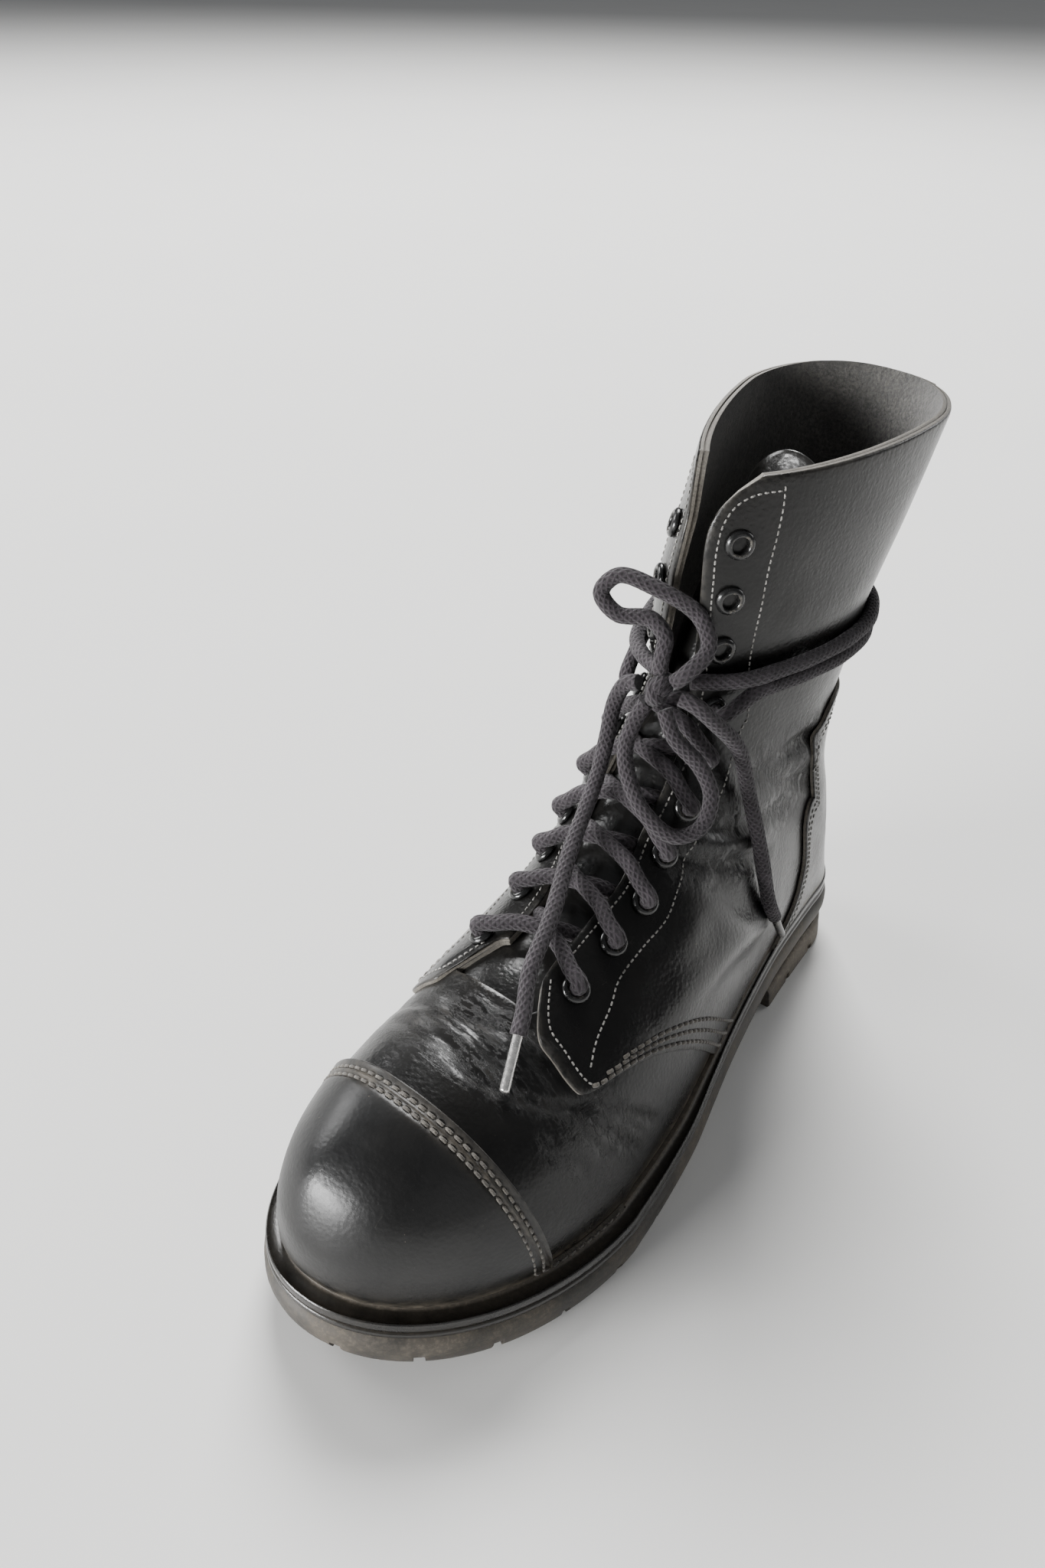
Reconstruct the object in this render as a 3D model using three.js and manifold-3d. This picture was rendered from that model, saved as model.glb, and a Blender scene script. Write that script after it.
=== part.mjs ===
// Ten-eyelet leather work boot with a steel toe, left foot, standing empty on its sole.
// Millimetres, +Z up. The origin is the middle of the heel on the floor, the toe points to -Y
// and the outer (lateral) side of the foot is +X.
import * as THREE from 'three';
import Module from 'manifold-3d';

const wasm = await Module();
wasm.setup();

// Last: the foot form that the upper is pulled over
const LAST_LENGTH = 287;
const HEEL_REACH = 28.5;
const BALL_WIDTH = 100;
const HEEL_WIDTH = 60;
const ANKLE_WIDTH = 57;
const COLLAR_WIDTH = 72;
const TOE_HEIGHT = 68;
const INSTEP_HEIGHT = 136;
const SHAFT_HEIGHT = 238;
const TOE_SPRING = 8.8;
const HEEL_RISE = 12.8;

// Sole: heights at the ball, from the floor up to the feather line
const SOLE_THICKNESS = 22.4;
const WELT_THICKNESS = 3.2;
const WELT_SHELF_DROP = 1.3;
const WELT_LIP = 0.7;
const WELT_TUCK = 3.2;
const MIDSOLE_THICKNESS = 2.6;
const INSOLE_THICKNESS = 6;
const SOLE_BULGE = 1.5;
const SOLE_EDGE_ROUND = 3.5;
const HEEL_FLARE = 2.2;
const HEEL_BREAST = 41;
const TREAD_DEPTH = 4.5;
const TREAD_RIM = 15;
const LUG_NOTCH_WIDTH = 3.2;
const LUG_NOTCH_LENGTH = 12;
const LUG_PITCH = 23;
const CENTRE_LUG_LENGTH = 13;
const CENTRE_LUG_WIDTH = 38;
const HEEL_LUG_RADIUS = 9;

// Leather layers, measured from the outer form of the boot
const QUARTER_FACE = 0.3;
const OVERLAY_STEP = 1.7;
const UPPER_WALL = 1.8;
const CAP_THICKNESS = 1.8;
const COUNTER_THICKNESS = 1.6;
const TONGUE_THICKNESS = 2.4;
const TONGUE_GAP = 0.8;
const SEAM_GAP = 0.3;

// Toe cap, from the tip of the toe back, and back tab
const CAP_LENGTH_AT_SOLE = 52.5;
const CAP_LENGTH_AT_TOP = 39.5;
const BACK_TAB_WIDTH = 44;
const BACK_TAB_LENGTH = 48;

// Eyelets and lace
const EYELET_INSET = 10.5;
const EYELET_BORE = 2.6;
const EYELET_BARREL = 3.1;
const EYELET_FLANGE = 4.8;
const EYELET_HEIGHT = 1.3;
const EYELET_SEAT = 0.8;
const EYELET_SIDES = 6;
const LACE_DIAMETER = 5.4;
const LACE_SIDES = 8;
const LACE_CLEARANCE = 0.5;
const AGLET_DIAMETER = 3.2;
const AGLET_LENGTH = 18;
const LACED_ROWS = 7;
const LACE_WRAP_DROP = 1.8;

// Where the heel closes into the back seam, as a station along the boot
const HEEL_STATION = 0.74;

const VAMP_FACE = QUARTER_FACE - OVERLAY_STEP;
const LINING_FACE = VAMP_FACE - UPPER_WALL;

// A table row becomes an object with the named columns
function table(columns, rows) {
  return rows.map((row) => Object.fromEntries(columns.map((name, i) => [name, row[i]])));
}

// Stations of the boot, each a slanted section from the ridge (front or top) to its seat (sole or
// back seam). Lengths along the foot are shares of LAST_LENGTH from the heel back to the toe.
const STATION_COLUMNS = ['station', 'ridgeAlong', 'ridgeUp', 'seatAlong', 'seatUp', 'shift',
  'lateral', 'medial', 'widest', 'crown', 'crownMedial', 'tuck'];

// Toe: heights are shares of TOE_HEIGHT above the feather line, widths shares of BALL_WIDTH
const TOE_ROWS = table(STATION_COLUMNS, [
  [0.00, 1.000, 0.000, 0.699, 0, -0.04, 0.530, 0.462, 0.00, 1.95, 2.20, 2.0],
  [0.05, 1.007, 0.110, 0.695, 0, -0.04, 0.534, 0.468, 0.02, 2.00, 2.15, 2.0],
  [0.10, 1.000, 0.335, 0.692, 0, -0.04, 0.538, 0.472, 0.04, 2.10, 2.10, 2.0],
  [0.15, 0.969, 0.576, 0.685, 0, -0.04, 0.542, 0.472, 0.06, 2.15, 2.05, 2.0],
  [0.20, 0.911, 0.772, 0.674, 0, -0.03, 0.542, 0.466, 0.09, 2.20, 2.05, 2.0],
  [0.25, 0.838, 0.909, 0.660, 0, -0.02, 0.540, 0.454, 0.13, 2.20, 2.05, 2.0],
  [0.30, 0.765, 1.000, 0.636, 0, -0.01, 0.533, 0.434, 0.18, 2.15, 2.05, 2.0],
]);

// Instep: ridge heights are shares of INSTEP_HEIGHT over the floor, widths of BALL_WIDTH
const INSTEP_ROWS = table(STATION_COLUMNS, [
  [0.35, 0.692, 0.719, 0.598, 0, 0.00, 0.523, 0.420, 0.22, 2.05, 2.10, 2.0],
  [0.40, 0.618, 0.768, 0.545, 0, 0.01, 0.504, 0.400, 0.26, 1.95, 2.15, 2.0],
  [0.45, 0.549, 0.831, 0.476, 0, 0.02, 0.472, 0.375, 0.28, 1.90, 2.20, 2.0],
  [0.50, 0.493, 0.908, 0.392, 0, 0.03, 0.432, 0.360, 0.30, 1.85, 2.30, 2.0],
]);

// Heel: ridge heights are shares of the way from INSTEP_HEIGHT to SHAFT_HEIGHT, widths shares of
// HEEL_WIDTH
const HEEL_ROWS = table(STATION_COLUMNS, [
  [0.55, 0.451, -0.005, 0.294, 0, 0.07, 0.650, 0.583, 0.32, 1.85, 2.35, 2.0],
  [0.60, 0.425, 0.108, 0.190, 0, 0.07, 0.597, 0.558, 0.33, 1.85, 2.30, 2.0],
  [0.65, 0.411, 0.205, 0.092, 0, 0.07, 0.553, 0.542, 0.34, 1.85, 2.20, 2.0],
  [0.70, 0.404, 0.284, 0.030, 0, 0.07, 0.530, 0.525, 0.36, 1.85, 2.10, 2.0],
  [0.74, 0.402, 0.353, 0.000, 0, 0.07, 0.517, 0.508, 0.38, 1.85, 2.00, 2.0],
]);

// Ankle: ridge heights as on the heel, seat heights are shares of SHAFT_HEIGHT over the floor,
// widths shares of ANKLE_WIDTH
const ANKLE_ROWS = table(STATION_COLUMNS, [
  [0.78, 0.402, 0.431, 0.012, 0.244, 0.07, 0.518, 0.518, 0.40, 1.85, 1.95, 1.95],
  [0.82, 0.402, 0.510, 0.042, 0.345, 0.07, 0.500, 0.509, 0.41, 1.85, 1.90, 1.9],
  [0.86, 0.402, 0.589, 0.057, 0.445, 0.07, 0.518, 0.509, 0.41, 1.85, 1.85, 1.9],
  [0.90, 0.402, 0.666, 0.050, 0.546, 0.07, 0.553, 0.518, 0.40, 1.85, 1.80, 1.9],
]);

// Collar: heights as on the ankle, widths shares of COLLAR_WIDTH
const COLLAR_ROWS = table(STATION_COLUMNS, [
  [0.94, 0.399, 0.760, 0.028, 0.685, 0.055, 0.465, 0.410, 0.38, 1.85, 1.70, 1.9],
  [0.97, 0.394, 0.853, -0.010, 0.828, 0.055, 0.507, 0.417, 0.35, 1.85, 1.55, 2.0],
  [1.00, 0.385, 0.981, -0.056, 1.004, 0.055, 0.549, 0.451, 0.32, 1.85, 1.40, 2.1],
]);

// Feather line, where upper meets welt: half widths as shares of BALL_WIDTH, from ball to heel
const FEATHER_ROWS = table(['along', 'lateral', 'medial'], [
  [0.699, 0.530, 0.462],
  [0.622, 0.515, 0.415],
  [0.552, 0.495, 0.370],
  [0.476, 0.455, 0.312],
  [0.392, 0.410, 0.275],
  [0.308, 0.370, 0.265],
  [0.228, 0.338, 0.275],
  [0.152, 0.320, 0.290],
  [0.099, 0.310, 0.295],
]);
const HEEL_TURN_ALONG = 0.099;
const HEEL_TURN_POWER = 2.2;

// How far the welt stands out from the feather line, as shares of WELT_WIDTH
const WELT_WIDTH = 6.6;
const WELT_ROWS = table(['along', 'width'], [
  [1.02, 1.00],
  [0.70, 0.93],
  [0.55, 0.68],
  [0.40, 0.42],
  [0.10, 0.42],
  [-0.02, 0.50],
]);

// Throat: where the two facings end on each side of the ridge, as shares of the half girth
const THROAT_ROWS = table(['station', 'lateral', 'medial'], [
  [0.331, 0.150, 0.170],
  [0.350, 0.120, 0.085],
  [0.370, 0.105, 0.062],
  [0.410, 0.100, 0.065],
  [0.431, 0.100, 0.080],
  [0.456, 0.098, 0.105],
  [0.500, 0.065, 0.140],
  [0.550, 0.050, 0.140],
  [0.620, 0.042, 0.120],
  [0.706, 0.025, 0.080],
  [0.812, 0.025, 0.055],
  [0.894, 0.025, 0.050],
  [0.956, 0.020, 0.045],
  [0.975, 0.030, 0.055],
  [0.990, 0.060, 0.085],
  [1.000, 0.100, 0.125],
  [1.030, 0.170, 0.200],
]);

// Front edge of the quarters: the station at each share of the half girth from the ridge
const QUARTER_ROWS = table(['around', 'station'], [
  [0.000, 0.372],
  [0.090, 0.366],
  [0.125, 0.350],
  [0.213, 0.319],
  [0.288, 0.311],
  [0.410, 0.303],
  [0.440, 0.310],
  [0.475, 0.338],
  [0.525, 0.369],
  [0.612, 0.400],
  [0.750, 0.431],
  [1.000, 0.469],
]);

const EYELET_STATIONS = [0.365, 0.413, 0.456, 0.500, 0.550, 0.615, 0.700, 0.812, 0.893, 0.955];

// Tongue: half widths as shares of the half girth, and how much of its slouch it has reached
const TONGUE_ROWS = table(['station', 'lateral', 'medial', 'slide'], [
  [0.300, 0.30, 0.30, 0.00],
  [0.400, 0.25, 0.26, 0.00],
  [0.500, 0.22, 0.27, 0.00],
  [0.620, 0.19, 0.24, 0.02],
  [0.740, 0.17, 0.20, 0.08],
  [0.860, 0.17, 0.18, 0.22],
  [0.940, 0.15, 0.14, 0.34],
  [1.000, 0.13, 0.08, 0.44],
]);
const TONGUE_SLOUCH = 72;

// Smooth curve through the rows of a table, flat past its ends
function curveValue(rows, key, name, at) {
  const last = rows.length - 1;
  const rising = rows[last][key] > rows[0][key];
  const list = rising ? rows : [...rows].reverse();
  const x = Math.min(Math.max(at, list[0][key]), list[last][key]);
  let i = 0;
  while (i < last - 1 && x > list[i + 1][key]) {
    i += 1;
  }
  const slope = (a, b) => (list[b][name] - list[a][name]) / (list[b][key] - list[a][key]);
  const step = list[i + 1][key] - list[i][key];
  const t = (x - list[i][key]) / step;
  const from = i > 0 ? slope(i - 1, i + 1) : slope(0, 1);
  const to = i + 2 <= last ? slope(i, i + 2) : slope(last - 1, last);
  const t2 = t * t;
  const t3 = t2 * t;
  return (2 * t3 - 3 * t2 + 1) * list[i][name] + (t3 - 2 * t2 + t) * step * from
    + (3 * t2 - 2 * t3) * list[i + 1][name] + (t3 - t2) * step * to;
}

function smoothStep(t) {
  const x = Math.min(Math.max(t, 0), 1);
  return x * x * (3 - 2 * x);
}

// Side view: y of a share along the foot, and the heights of the sole over the floor
function alongToY(along) {
  return HEEL_REACH - along * LAST_LENGTH;
}

function yToAlong(y) {
  return (HEEL_REACH - y) / LAST_LENGTH;
}

function springAt(y) {
  const reach = Math.max(0, yToAlong(y) - 0.622) / 0.378;
  return TOE_SPRING * reach * reach;
}

function featherHeight(y) {
  return SOLE_THICKNESS + HEEL_RISE * smoothStep((0.657 - yToAlong(y)) / 0.575) + springAt(y);
}

function soleBottom(y) {
  return HEEL_RISE * smoothStep((0.535 - yToAlong(y)) / 0.453) + springAt(y);
}

function featherHalfWidths(y) {
  const along = yToAlong(y);
  const at = Math.max(along, HEEL_TURN_ALONG);
  const turn = Math.min(Math.max(1 - along / HEEL_TURN_ALONG, 0), 1);
  const closing = (1 - turn ** HEEL_TURN_POWER) ** (1 / HEEL_TURN_POWER);
  return {
    lateral: curveValue(FEATHER_ROWS, 'along', 'lateral', at) * BALL_WIDTH * closing,
    medial: curveValue(FEATHER_ROWS, 'along', 'medial', at) * BALL_WIDTH * closing,
  };
}

// Station rows in millimetres
function stationsInMillimetres() {
  const inMillimetres = (row, width, ridgeZ, seatZ) => ({
    station: row.station,
    ridgeY: alongToY(row.ridgeAlong),
    ridgeZ,
    seatY: alongToY(row.seatAlong),
    seatZ,
    shift: row.shift * width,
    lateral: row.lateral * width,
    medial: row.medial * width,
    widest: row.widest,
    crown: row.crown,
    crownMedial: row.crownMedial,
    tuck: row.tuck,
  });
  const flatFeather = (row) => {
    const y = alongToY(row.seatAlong);
    return featherHeight(y) - springAt(y);
  };
  const toe = (row) => inMillimetres(
    row, BALL_WIDTH, SOLE_THICKNESS + row.ridgeUp * TOE_HEIGHT, flatFeather(row));
  const instep = (row) => inMillimetres(
    row, BALL_WIDTH, row.ridgeUp * INSTEP_HEIGHT, flatFeather(row));
  const shaftRidge = (row) => INSTEP_HEIGHT + row.ridgeUp * (SHAFT_HEIGHT - INSTEP_HEIGHT);
  const heel = (row) => inMillimetres(row, HEEL_WIDTH, shaftRidge(row), flatFeather(row));
  const shaft = (width) => (row) => inMillimetres(
    row, width, shaftRidge(row), row.seatUp * SHAFT_HEIGHT);
  return [
    ...TOE_ROWS.map(toe),
    ...INSTEP_ROWS.map(instep),
    ...HEEL_ROWS.map(heel),
    ...ANKLE_ROWS.map(shaft(ANKLE_WIDTH)),
    ...COLLAR_ROWS.map(shaft(COLLAR_WIDTH)),
  ];
}

const STATIONS = stationsInMillimetres();
const SECTION_STEPS = 30;
const sectionCache = new Map();

// One side of a section, from the ridge down to its seat, as points
function halfSection(station, side) {
  const get = (name) => curveValue(STATIONS, 'station', name, station);
  const seatY = get('seatY');
  const onSole = station <= HEEL_STATION;
  const seatZ = onSole ? featherHeight(seatY) - springAt(seatY) : get('seatZ');
  const riseY = get('ridgeY') - seatY;
  const riseZ = get('ridgeZ') - seatZ;
  const feather = featherHalfWidths(seatY);
  const sign = side === 'lateral' ? 1 : -1;
  const foot = station < HEEL_STATION ? feather[side] : 0;
  const width = Math.max(get(side), foot + 0.2);
  const crown = 2 / get(side === 'lateral' ? 'crown' : 'crownMedial');
  const tuck = get('tuck');
  const widest = Math.max(get('widest'), 0.001);
  const shift = get('shift');
  const points = [];
  const add = (x, t) => {
    const y = seatY + riseY * t;
    points.push(new THREE.Vector3(x, y, seatZ + riseZ * t + springAt(y)));
  };
  for (let i = 0; i <= SECTION_STEPS; i += 1) {
    const angle = (i / SECTION_STEPS) * Math.PI / 2;
    const x = shift + (sign * width - shift) * Math.sin(angle) ** crown;
    add(x, widest + (1 - widest) * Math.max(Math.cos(angle), 0) ** crown);
  }
  const closed = Math.max((1 - (foot / width) ** tuck) ** (1 / tuck), 0.001);
  const lastAngle = Math.asin(Math.min(1, closed ** (tuck / 2)));
  for (let i = 1; i <= SECTION_STEPS; i += 1) {
    const angle = (i / SECTION_STEPS) * lastAngle;
    const x = i === SECTION_STEPS ? foot : width * Math.max(Math.cos(angle), 0) ** (2 / tuck);
    add(sign * x, widest * (1 - Math.sin(angle) ** (2 / tuck) / closed));
  }
  return points;
}

function section(station, side) {
  const key = `${station.toFixed(6)} ${side}`;
  if (!sectionCache.has(key)) {
    const points = halfSection(station, side);
    const lengths = [0];
    for (let i = 1; i < points.length; i += 1) {
      lengths.push(lengths[i - 1] + points[i].distanceTo(points[i - 1]));
    }
    sectionCache.set(key, { points, lengths, girth: lengths[lengths.length - 1] });
  }
  return sectionCache.get(key);
}

// Point of the boot's outer form: around runs from -1 (medial seat) over the ridge to 1 (lateral)
function formPoint(station, around) {
  if (station > 1) {
    const top = formPoint(1, around);
    const below = formPoint(0.99, around);
    return top.clone().add(top.clone().sub(below).multiplyScalar((station - 1) / 0.01));
  }
  const { points, lengths, girth } = section(station, around >= 0 ? 'lateral' : 'medial');
  const at = Math.min(Math.abs(around), 1) * girth;
  let i = 1;
  while (i < lengths.length - 1 && lengths[i] < at) {
    i += 1;
  }
  const share = (at - lengths[i - 1]) / Math.max(lengths[i] - lengths[i - 1], 1e-9);
  return points[i - 1].clone().lerp(points[i], Math.min(Math.max(share, 0), 1));
}

// Past the back seam the form goes on around the other side
function wrappedPoint(station, around) {
  if (station > HEEL_STATION && Math.abs(around) > 1) {
    return formPoint(station, around - 2 * Math.sign(around));
  }
  return formPoint(station, Math.min(Math.max(around, -1), 1));
}

const STATION_STEP = 0.004;
const AROUND_STEP = 0.02;

function formNormal(station, around) {
  const before = formPoint(Math.max(station - STATION_STEP, 0), around);
  const after = formPoint(station + STATION_STEP, around);
  const left = wrappedPoint(station, around - AROUND_STEP);
  const right = wrappedPoint(station, around + AROUND_STEP);
  const normal = after.sub(before).cross(right.sub(left)).negate();
  const onFeather = station === 0 || (Math.abs(around) >= 1 && station <= HEEL_STATION);
  if (onFeather) {
    normal.z = 0;
  }
  if (Math.abs(around) >= 1 && station >= HEEL_STATION) {
    normal.x = 0;
  }
  return normal.normalize();
}

function offsetPoint(station, around, offset) {
  return formPoint(station, around).addScaledVector(formNormal(station, around), offset);
}

// Closed triangle mesh from points and faces, with shared corners merged
class Shell {
  constructor() {
    this.points = [];
    this.faces = [];
    this.index = new Map();
  }

  point(p) {
    const key = [p.x, p.y, p.z].map((value) => Math.round(value * 1000)).join(' ');
    if (!this.index.has(key)) {
      this.index.set(key, this.points.length);
      this.points.push(p);
    }
    return this.index.get(key);
  }

  triangle(a, b, c) {
    if (a !== b && b !== c && c !== a) {
      this.faces.push([a, b, c]);
    }
  }

  quad(a, b, c, d) {
    this.triangle(a, b, c);
    this.triangle(a, c, d);
  }

  // The same four corners, split along the other diagonal
  quadTurned(a, b, c, d) {
    this.triangle(b, c, d);
    this.triangle(b, d, a);
  }

  solid() {
    let volume = 0;
    this.faces.forEach(([a, b, c]) => {
      const [p, q, r] = [this.points[a], this.points[b], this.points[c]];
      volume += p.dot(q.clone().cross(r));
    });
    const faces = volume < 0 ? this.faces.map(([a, b, c]) => [a, c, b]) : this.faces;
    return new wasm.Manifold(new wasm.Mesh({
      numProp: 3,
      vertProperties: Float32Array.from(this.points.flatMap((p) => [p.x, p.y, p.z])),
      triVerts: Uint32Array.from(faces.flat()),
    }));
  }
}

// Sheet of leather: rows of [station, around] nodes between an inner and an outer offset, which
// may change from row to row; a row may slide back along Y. On the back seam the ends of a row
// meet, and have no edge there.
function sheetSolid(grid, inner, outer, slideAt = () => 0) {
  const shell = new Shell();
  const layer = (offset) => grid.map((row, i) => row.map(([station, around]) => {
    const depth = typeof offset === 'function' ? offset(station, i) : offset;
    const point = offsetPoint(station, around, depth);
    point.y += slideAt(station);
    return shell.point(point);
  }));
  const low = layer(inner);
  const high = layer(outer);
  const rows = grid.length - 1;
  const columns = grid[0].length - 1;
  const closed = grid[0][0][1] <= -1 && grid[0][columns][1] >= 1;
  const seam = (i) => closed && grid[i][0][0] >= HEEL_STATION - 1e-9;
  for (let i = 0; i < rows; i += 1) {
    for (let j = 0; j < columns; j += 1) {
      const split = grid[i][j][1] + grid[i][j + 1][1] > 0 ? 'quadTurned' : 'quad';
      shell[split](high[i][j], high[i][j + 1], high[i + 1][j + 1], high[i + 1][j]);
      shell[split](low[i][j], low[i + 1][j], low[i + 1][j + 1], low[i][j + 1]);
    }
    if (!seam(i)) {
      shell.quad(low[i][0], high[i][0], high[i + 1][0], low[i + 1][0]);
      shell.quad(high[i][columns], low[i][columns], low[i + 1][columns], high[i + 1][columns]);
    }
  }
  for (let j = 0; j < columns; j += 1) {
    shell.quad(low[0][j], low[0][j + 1], high[0][j + 1], high[0][j]);
    shell.quad(high[rows][j], high[rows][j + 1], low[rows][j + 1], low[rows][j]);
  }
  return shell.solid();
}

// Convex or plain three.js geometry as a solid
function geometrySolid(geometry) {
  const shell = new Shell();
  const position = geometry.getAttribute('position');
  const corner = (i) => shell.point(new THREE.Vector3().fromBufferAttribute(position, i));
  const index = geometry.index ? [...geometry.index.array] : [...Array(position.count).keys()];
  for (let i = 0; i < index.length; i += 3) {
    shell.triangle(corner(index[i]), corner(index[i + 1]), corner(index[i + 2]));
  }
  return shell.solid();
}

// The main body of a solid, without the slivers that a cut can leave
function mainBody(solid) {
  return solid.decompose().reduce((best, body) => (body.volume() > best.volume() ? body : best));
}

function solidGeometry(solid) {
  const mesh = mainBody(solid).getMesh();
  const geometry = new THREE.BufferGeometry();
  geometry.setAttribute('position', new THREE.BufferAttribute(mesh.vertProperties, 3));
  geometry.setIndex(new THREE.BufferAttribute(mesh.triVerts, 1));
  geometry.computeVertexNormals();
  return geometry;
}

function blockSolid(size, centre, turn = new THREE.Euler()) {
  const geometry = new THREE.BoxGeometry(size.x, size.y, size.z);
  const matrix = new THREE.Matrix4().makeRotationFromEuler(turn).setPosition(centre);
  return geometrySolid(geometry.applyMatrix4(matrix));
}

// Outline drawn in side view (y, z), or in back view (x, z), pushed through the boot
function sidePrism(outline, halfWidth) {
  const shape = new THREE.Shape(outline.map(([y, z]) => new THREE.Vector2(y, z)));
  const geometry = new THREE.ExtrudeGeometry(shape, { depth: 2 * halfWidth, bevelEnabled: false });
  geometry.translate(0, 0, -halfWidth);
  const axes = new THREE.Matrix4().makeBasis(
    new THREE.Vector3(0, 1, 0), new THREE.Vector3(0, 0, 1), new THREE.Vector3(1, 0, 0));
  return geometrySolid(geometry.applyMatrix4(axes));
}

function mirroredAround(half) {
  return [...half.slice(1).reverse().map((around) => -around), ...half];
}

// Nodes of the leather: shares of the half girth from ridge to seat, and rows from toe to collar.
// The vamp's rows end on the quarter's front edge, the quarter's rows start there.
const AROUND_HALF = [0, 0.10, 0.20, 0.29, 0.36, 0.41, 0.475, 0.55, 0.64, 0.75, 0.87, 1];
const AROUND = mirroredAround(AROUND_HALF);
const VAMP_STEPS = [0, 0.08, 0.19, 0.32, 0.46, 0.60, 0.74, 0.87, 1];
const CAP_ROWS = 8;
const QUARTER_STEPS = [0, 0.33, 0.67];
const SHAFT_STATIONS = [0.52, 0.58, 0.64, 0.69, 0.72, 0.74, 0.78, 0.83, 0.88, 0.94, 1];

function quarterEdge(around) {
  return curveValue(QUARTER_ROWS, 'around', 'station', Math.abs(around));
}

const VAMP_GRID = VAMP_STEPS.map((step) => (
  AROUND.map((around) => [quarterEdge(around) * step, around])));
const QUARTER_GRID = QUARTER_STEPS.map((step) => AROUND.map((around) => {
  const edge = quarterEdge(around);
  return [edge + (SHAFT_STATIONS[0] - edge) * step, around];
}));
const SHAFT_GRID = SHAFT_STATIONS.map((station) => AROUND.map((around) => [station, around]));

// Plan of the boot: matching lateral and medial points of the feather line, toe to heel
const SIDE_STATIONS = [
  ...VAMP_STEPS.slice(3).map((step) => quarterEdge(1) * step),
  ...SHAFT_STATIONS.filter((station) => station <= HEEL_STATION),
];

function featherLine(side) {
  const sign = side === 'lateral' ? 1 : -1;
  const toe = AROUND_HALF.map((turn) => formPoint(0, sign * turn));
  const flank = SIDE_STATIONS.map((station) => formPoint(station, sign));
  return [...toe, ...flank];
}

const FEATHER = { lateral: featherLine('lateral'), medial: featherLine('medial') };
const PLAN_STEPS = FEATHER.lateral.length - 1;

// Point of the plan, pushed out from the feather line by a distance in millimetres
function planPoint(side, k, out) {
  const here = FEATHER[side][k];
  const other = side === 'lateral' ? 'medial' : 'lateral';
  const before = k > 0 ? FEATHER[side][k - 1] : FEATHER[other][1];
  const after = k < PLAN_STEPS ? FEATHER[side][k + 1] : FEATHER[other][PLAN_STEPS - 1];
  const sign = side === 'lateral' ? 1 : -1;
  const direction = new THREE.Vector2(after.x - before.x, after.y - before.y).normalize();
  const distance = typeof out === 'function' ? out(here.y) : out;
  const across = sign * here.x + direction.y * distance;
  const tip = k === 0 || k === PLAN_STEPS;
  return new THREE.Vector2(
    tip ? here.x : sign * (k < 3 ? across : Math.max(across, 0)),
    here.y - sign * direction.x * distance);
}

function weltOut(y) {
  return WELT_WIDTH * curveValue(WELT_ROWS, 'along', 'width', yToAlong(y));
}

// Layer of the sole: a side profile of { out, up } from its bottom to its top, both around the foot
function soleSolid(profile) {
  const shell = new Shell();
  const rings = [];
  for (let k = 0; k <= PLAN_STEPS; k += 1) {
    const ring = (side) => profile.map(({ out, up }) => {
      const p = planPoint(side, k, out);
      return shell.point(new THREE.Vector3(p.x, p.y, up(p.y)));
    });
    rings.push([...ring('lateral'), ...ring('medial').reverse()]);
  }
  const count = rings[0].length;
  for (let k = 0; k < PLAN_STEPS; k += 1) {
    for (let j = 0; j < count; j += 1) {
      const next = (j + 1) % count;
      shell.quad(rings[k][j], rings[k][next], rings[k + 1][next], rings[k + 1][j]);
    }
  }
  return shell.solid();
}

// Band around the foot: a closed profile of { out, up }
function bandSolid(profile) {
  const shell = new Shell();
  const loop = [];
  for (let k = 0; k <= PLAN_STEPS; k += 1) {
    loop.push(['lateral', k]);
  }
  for (let k = PLAN_STEPS - 1; k > 0; k -= 1) {
    loop.push(['medial', k]);
  }
  const rings = loop.map(([side, k]) => profile.map(({ out, up }) => {
    const p = planPoint(side, k, out);
    return shell.point(new THREE.Vector3(p.x, p.y, up(p.y)));
  }));
  rings.forEach((ring, i) => {
    const following = rings[(i + 1) % rings.length];
    ring.forEach((corner, j) => {
      const next = (j + 1) % ring.length;
      shell.quad(corner, ring[next], following[next], following[j]);
    });
  });
  return shell.solid();
}

// Heights of the joints between the layers of the sole
const weltTop = (y) => featherHeight(y) - SEAM_GAP;
const weltShelf = (y) => featherHeight(y) - WELT_SHELF_DROP;
const weltBottom = (y) => weltShelf(y) - WELT_THICKNESS;
const midsoleTop = (y) => weltBottom(y) - SEAM_GAP;
const midsoleBottom = (y) => midsoleTop(y) - MIDSOLE_THICKNESS;
const outsoleTop = (y) => midsoleBottom(y) - SEAM_GAP;

function buildWelt() {
  const edge = (y) => weltOut(y);
  return bandSolid([
    { out: -WELT_TUCK, up: weltBottom },
    { out: (y) => edge(y) - 0.4, up: weltBottom },
    { out: edge, up: (y) => weltBottom(y) + WELT_THICKNESS / 2 },
    { out: (y) => edge(y) - 0.3, up: (y) => weltShelf(y) + WELT_LIP },
    { out: (y) => edge(y) - 1.4, up: weltShelf },
    { out: 0.6, up: weltShelf },
    { out: 0, up: weltTop },
    { out: -WELT_TUCK, up: weltTop },
  ]);
}

function buildMidsole() {
  return soleSolid([
    { out: (y) => weltOut(y) - 0.2, up: midsoleBottom },
    { out: (y) => weltOut(y) + 0.3, up: (y) => midsoleTop(y) - MIDSOLE_THICKNESS / 2 },
    { out: (y) => weltOut(y) - 0.3, up: midsoleTop },
  ]);
}

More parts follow.
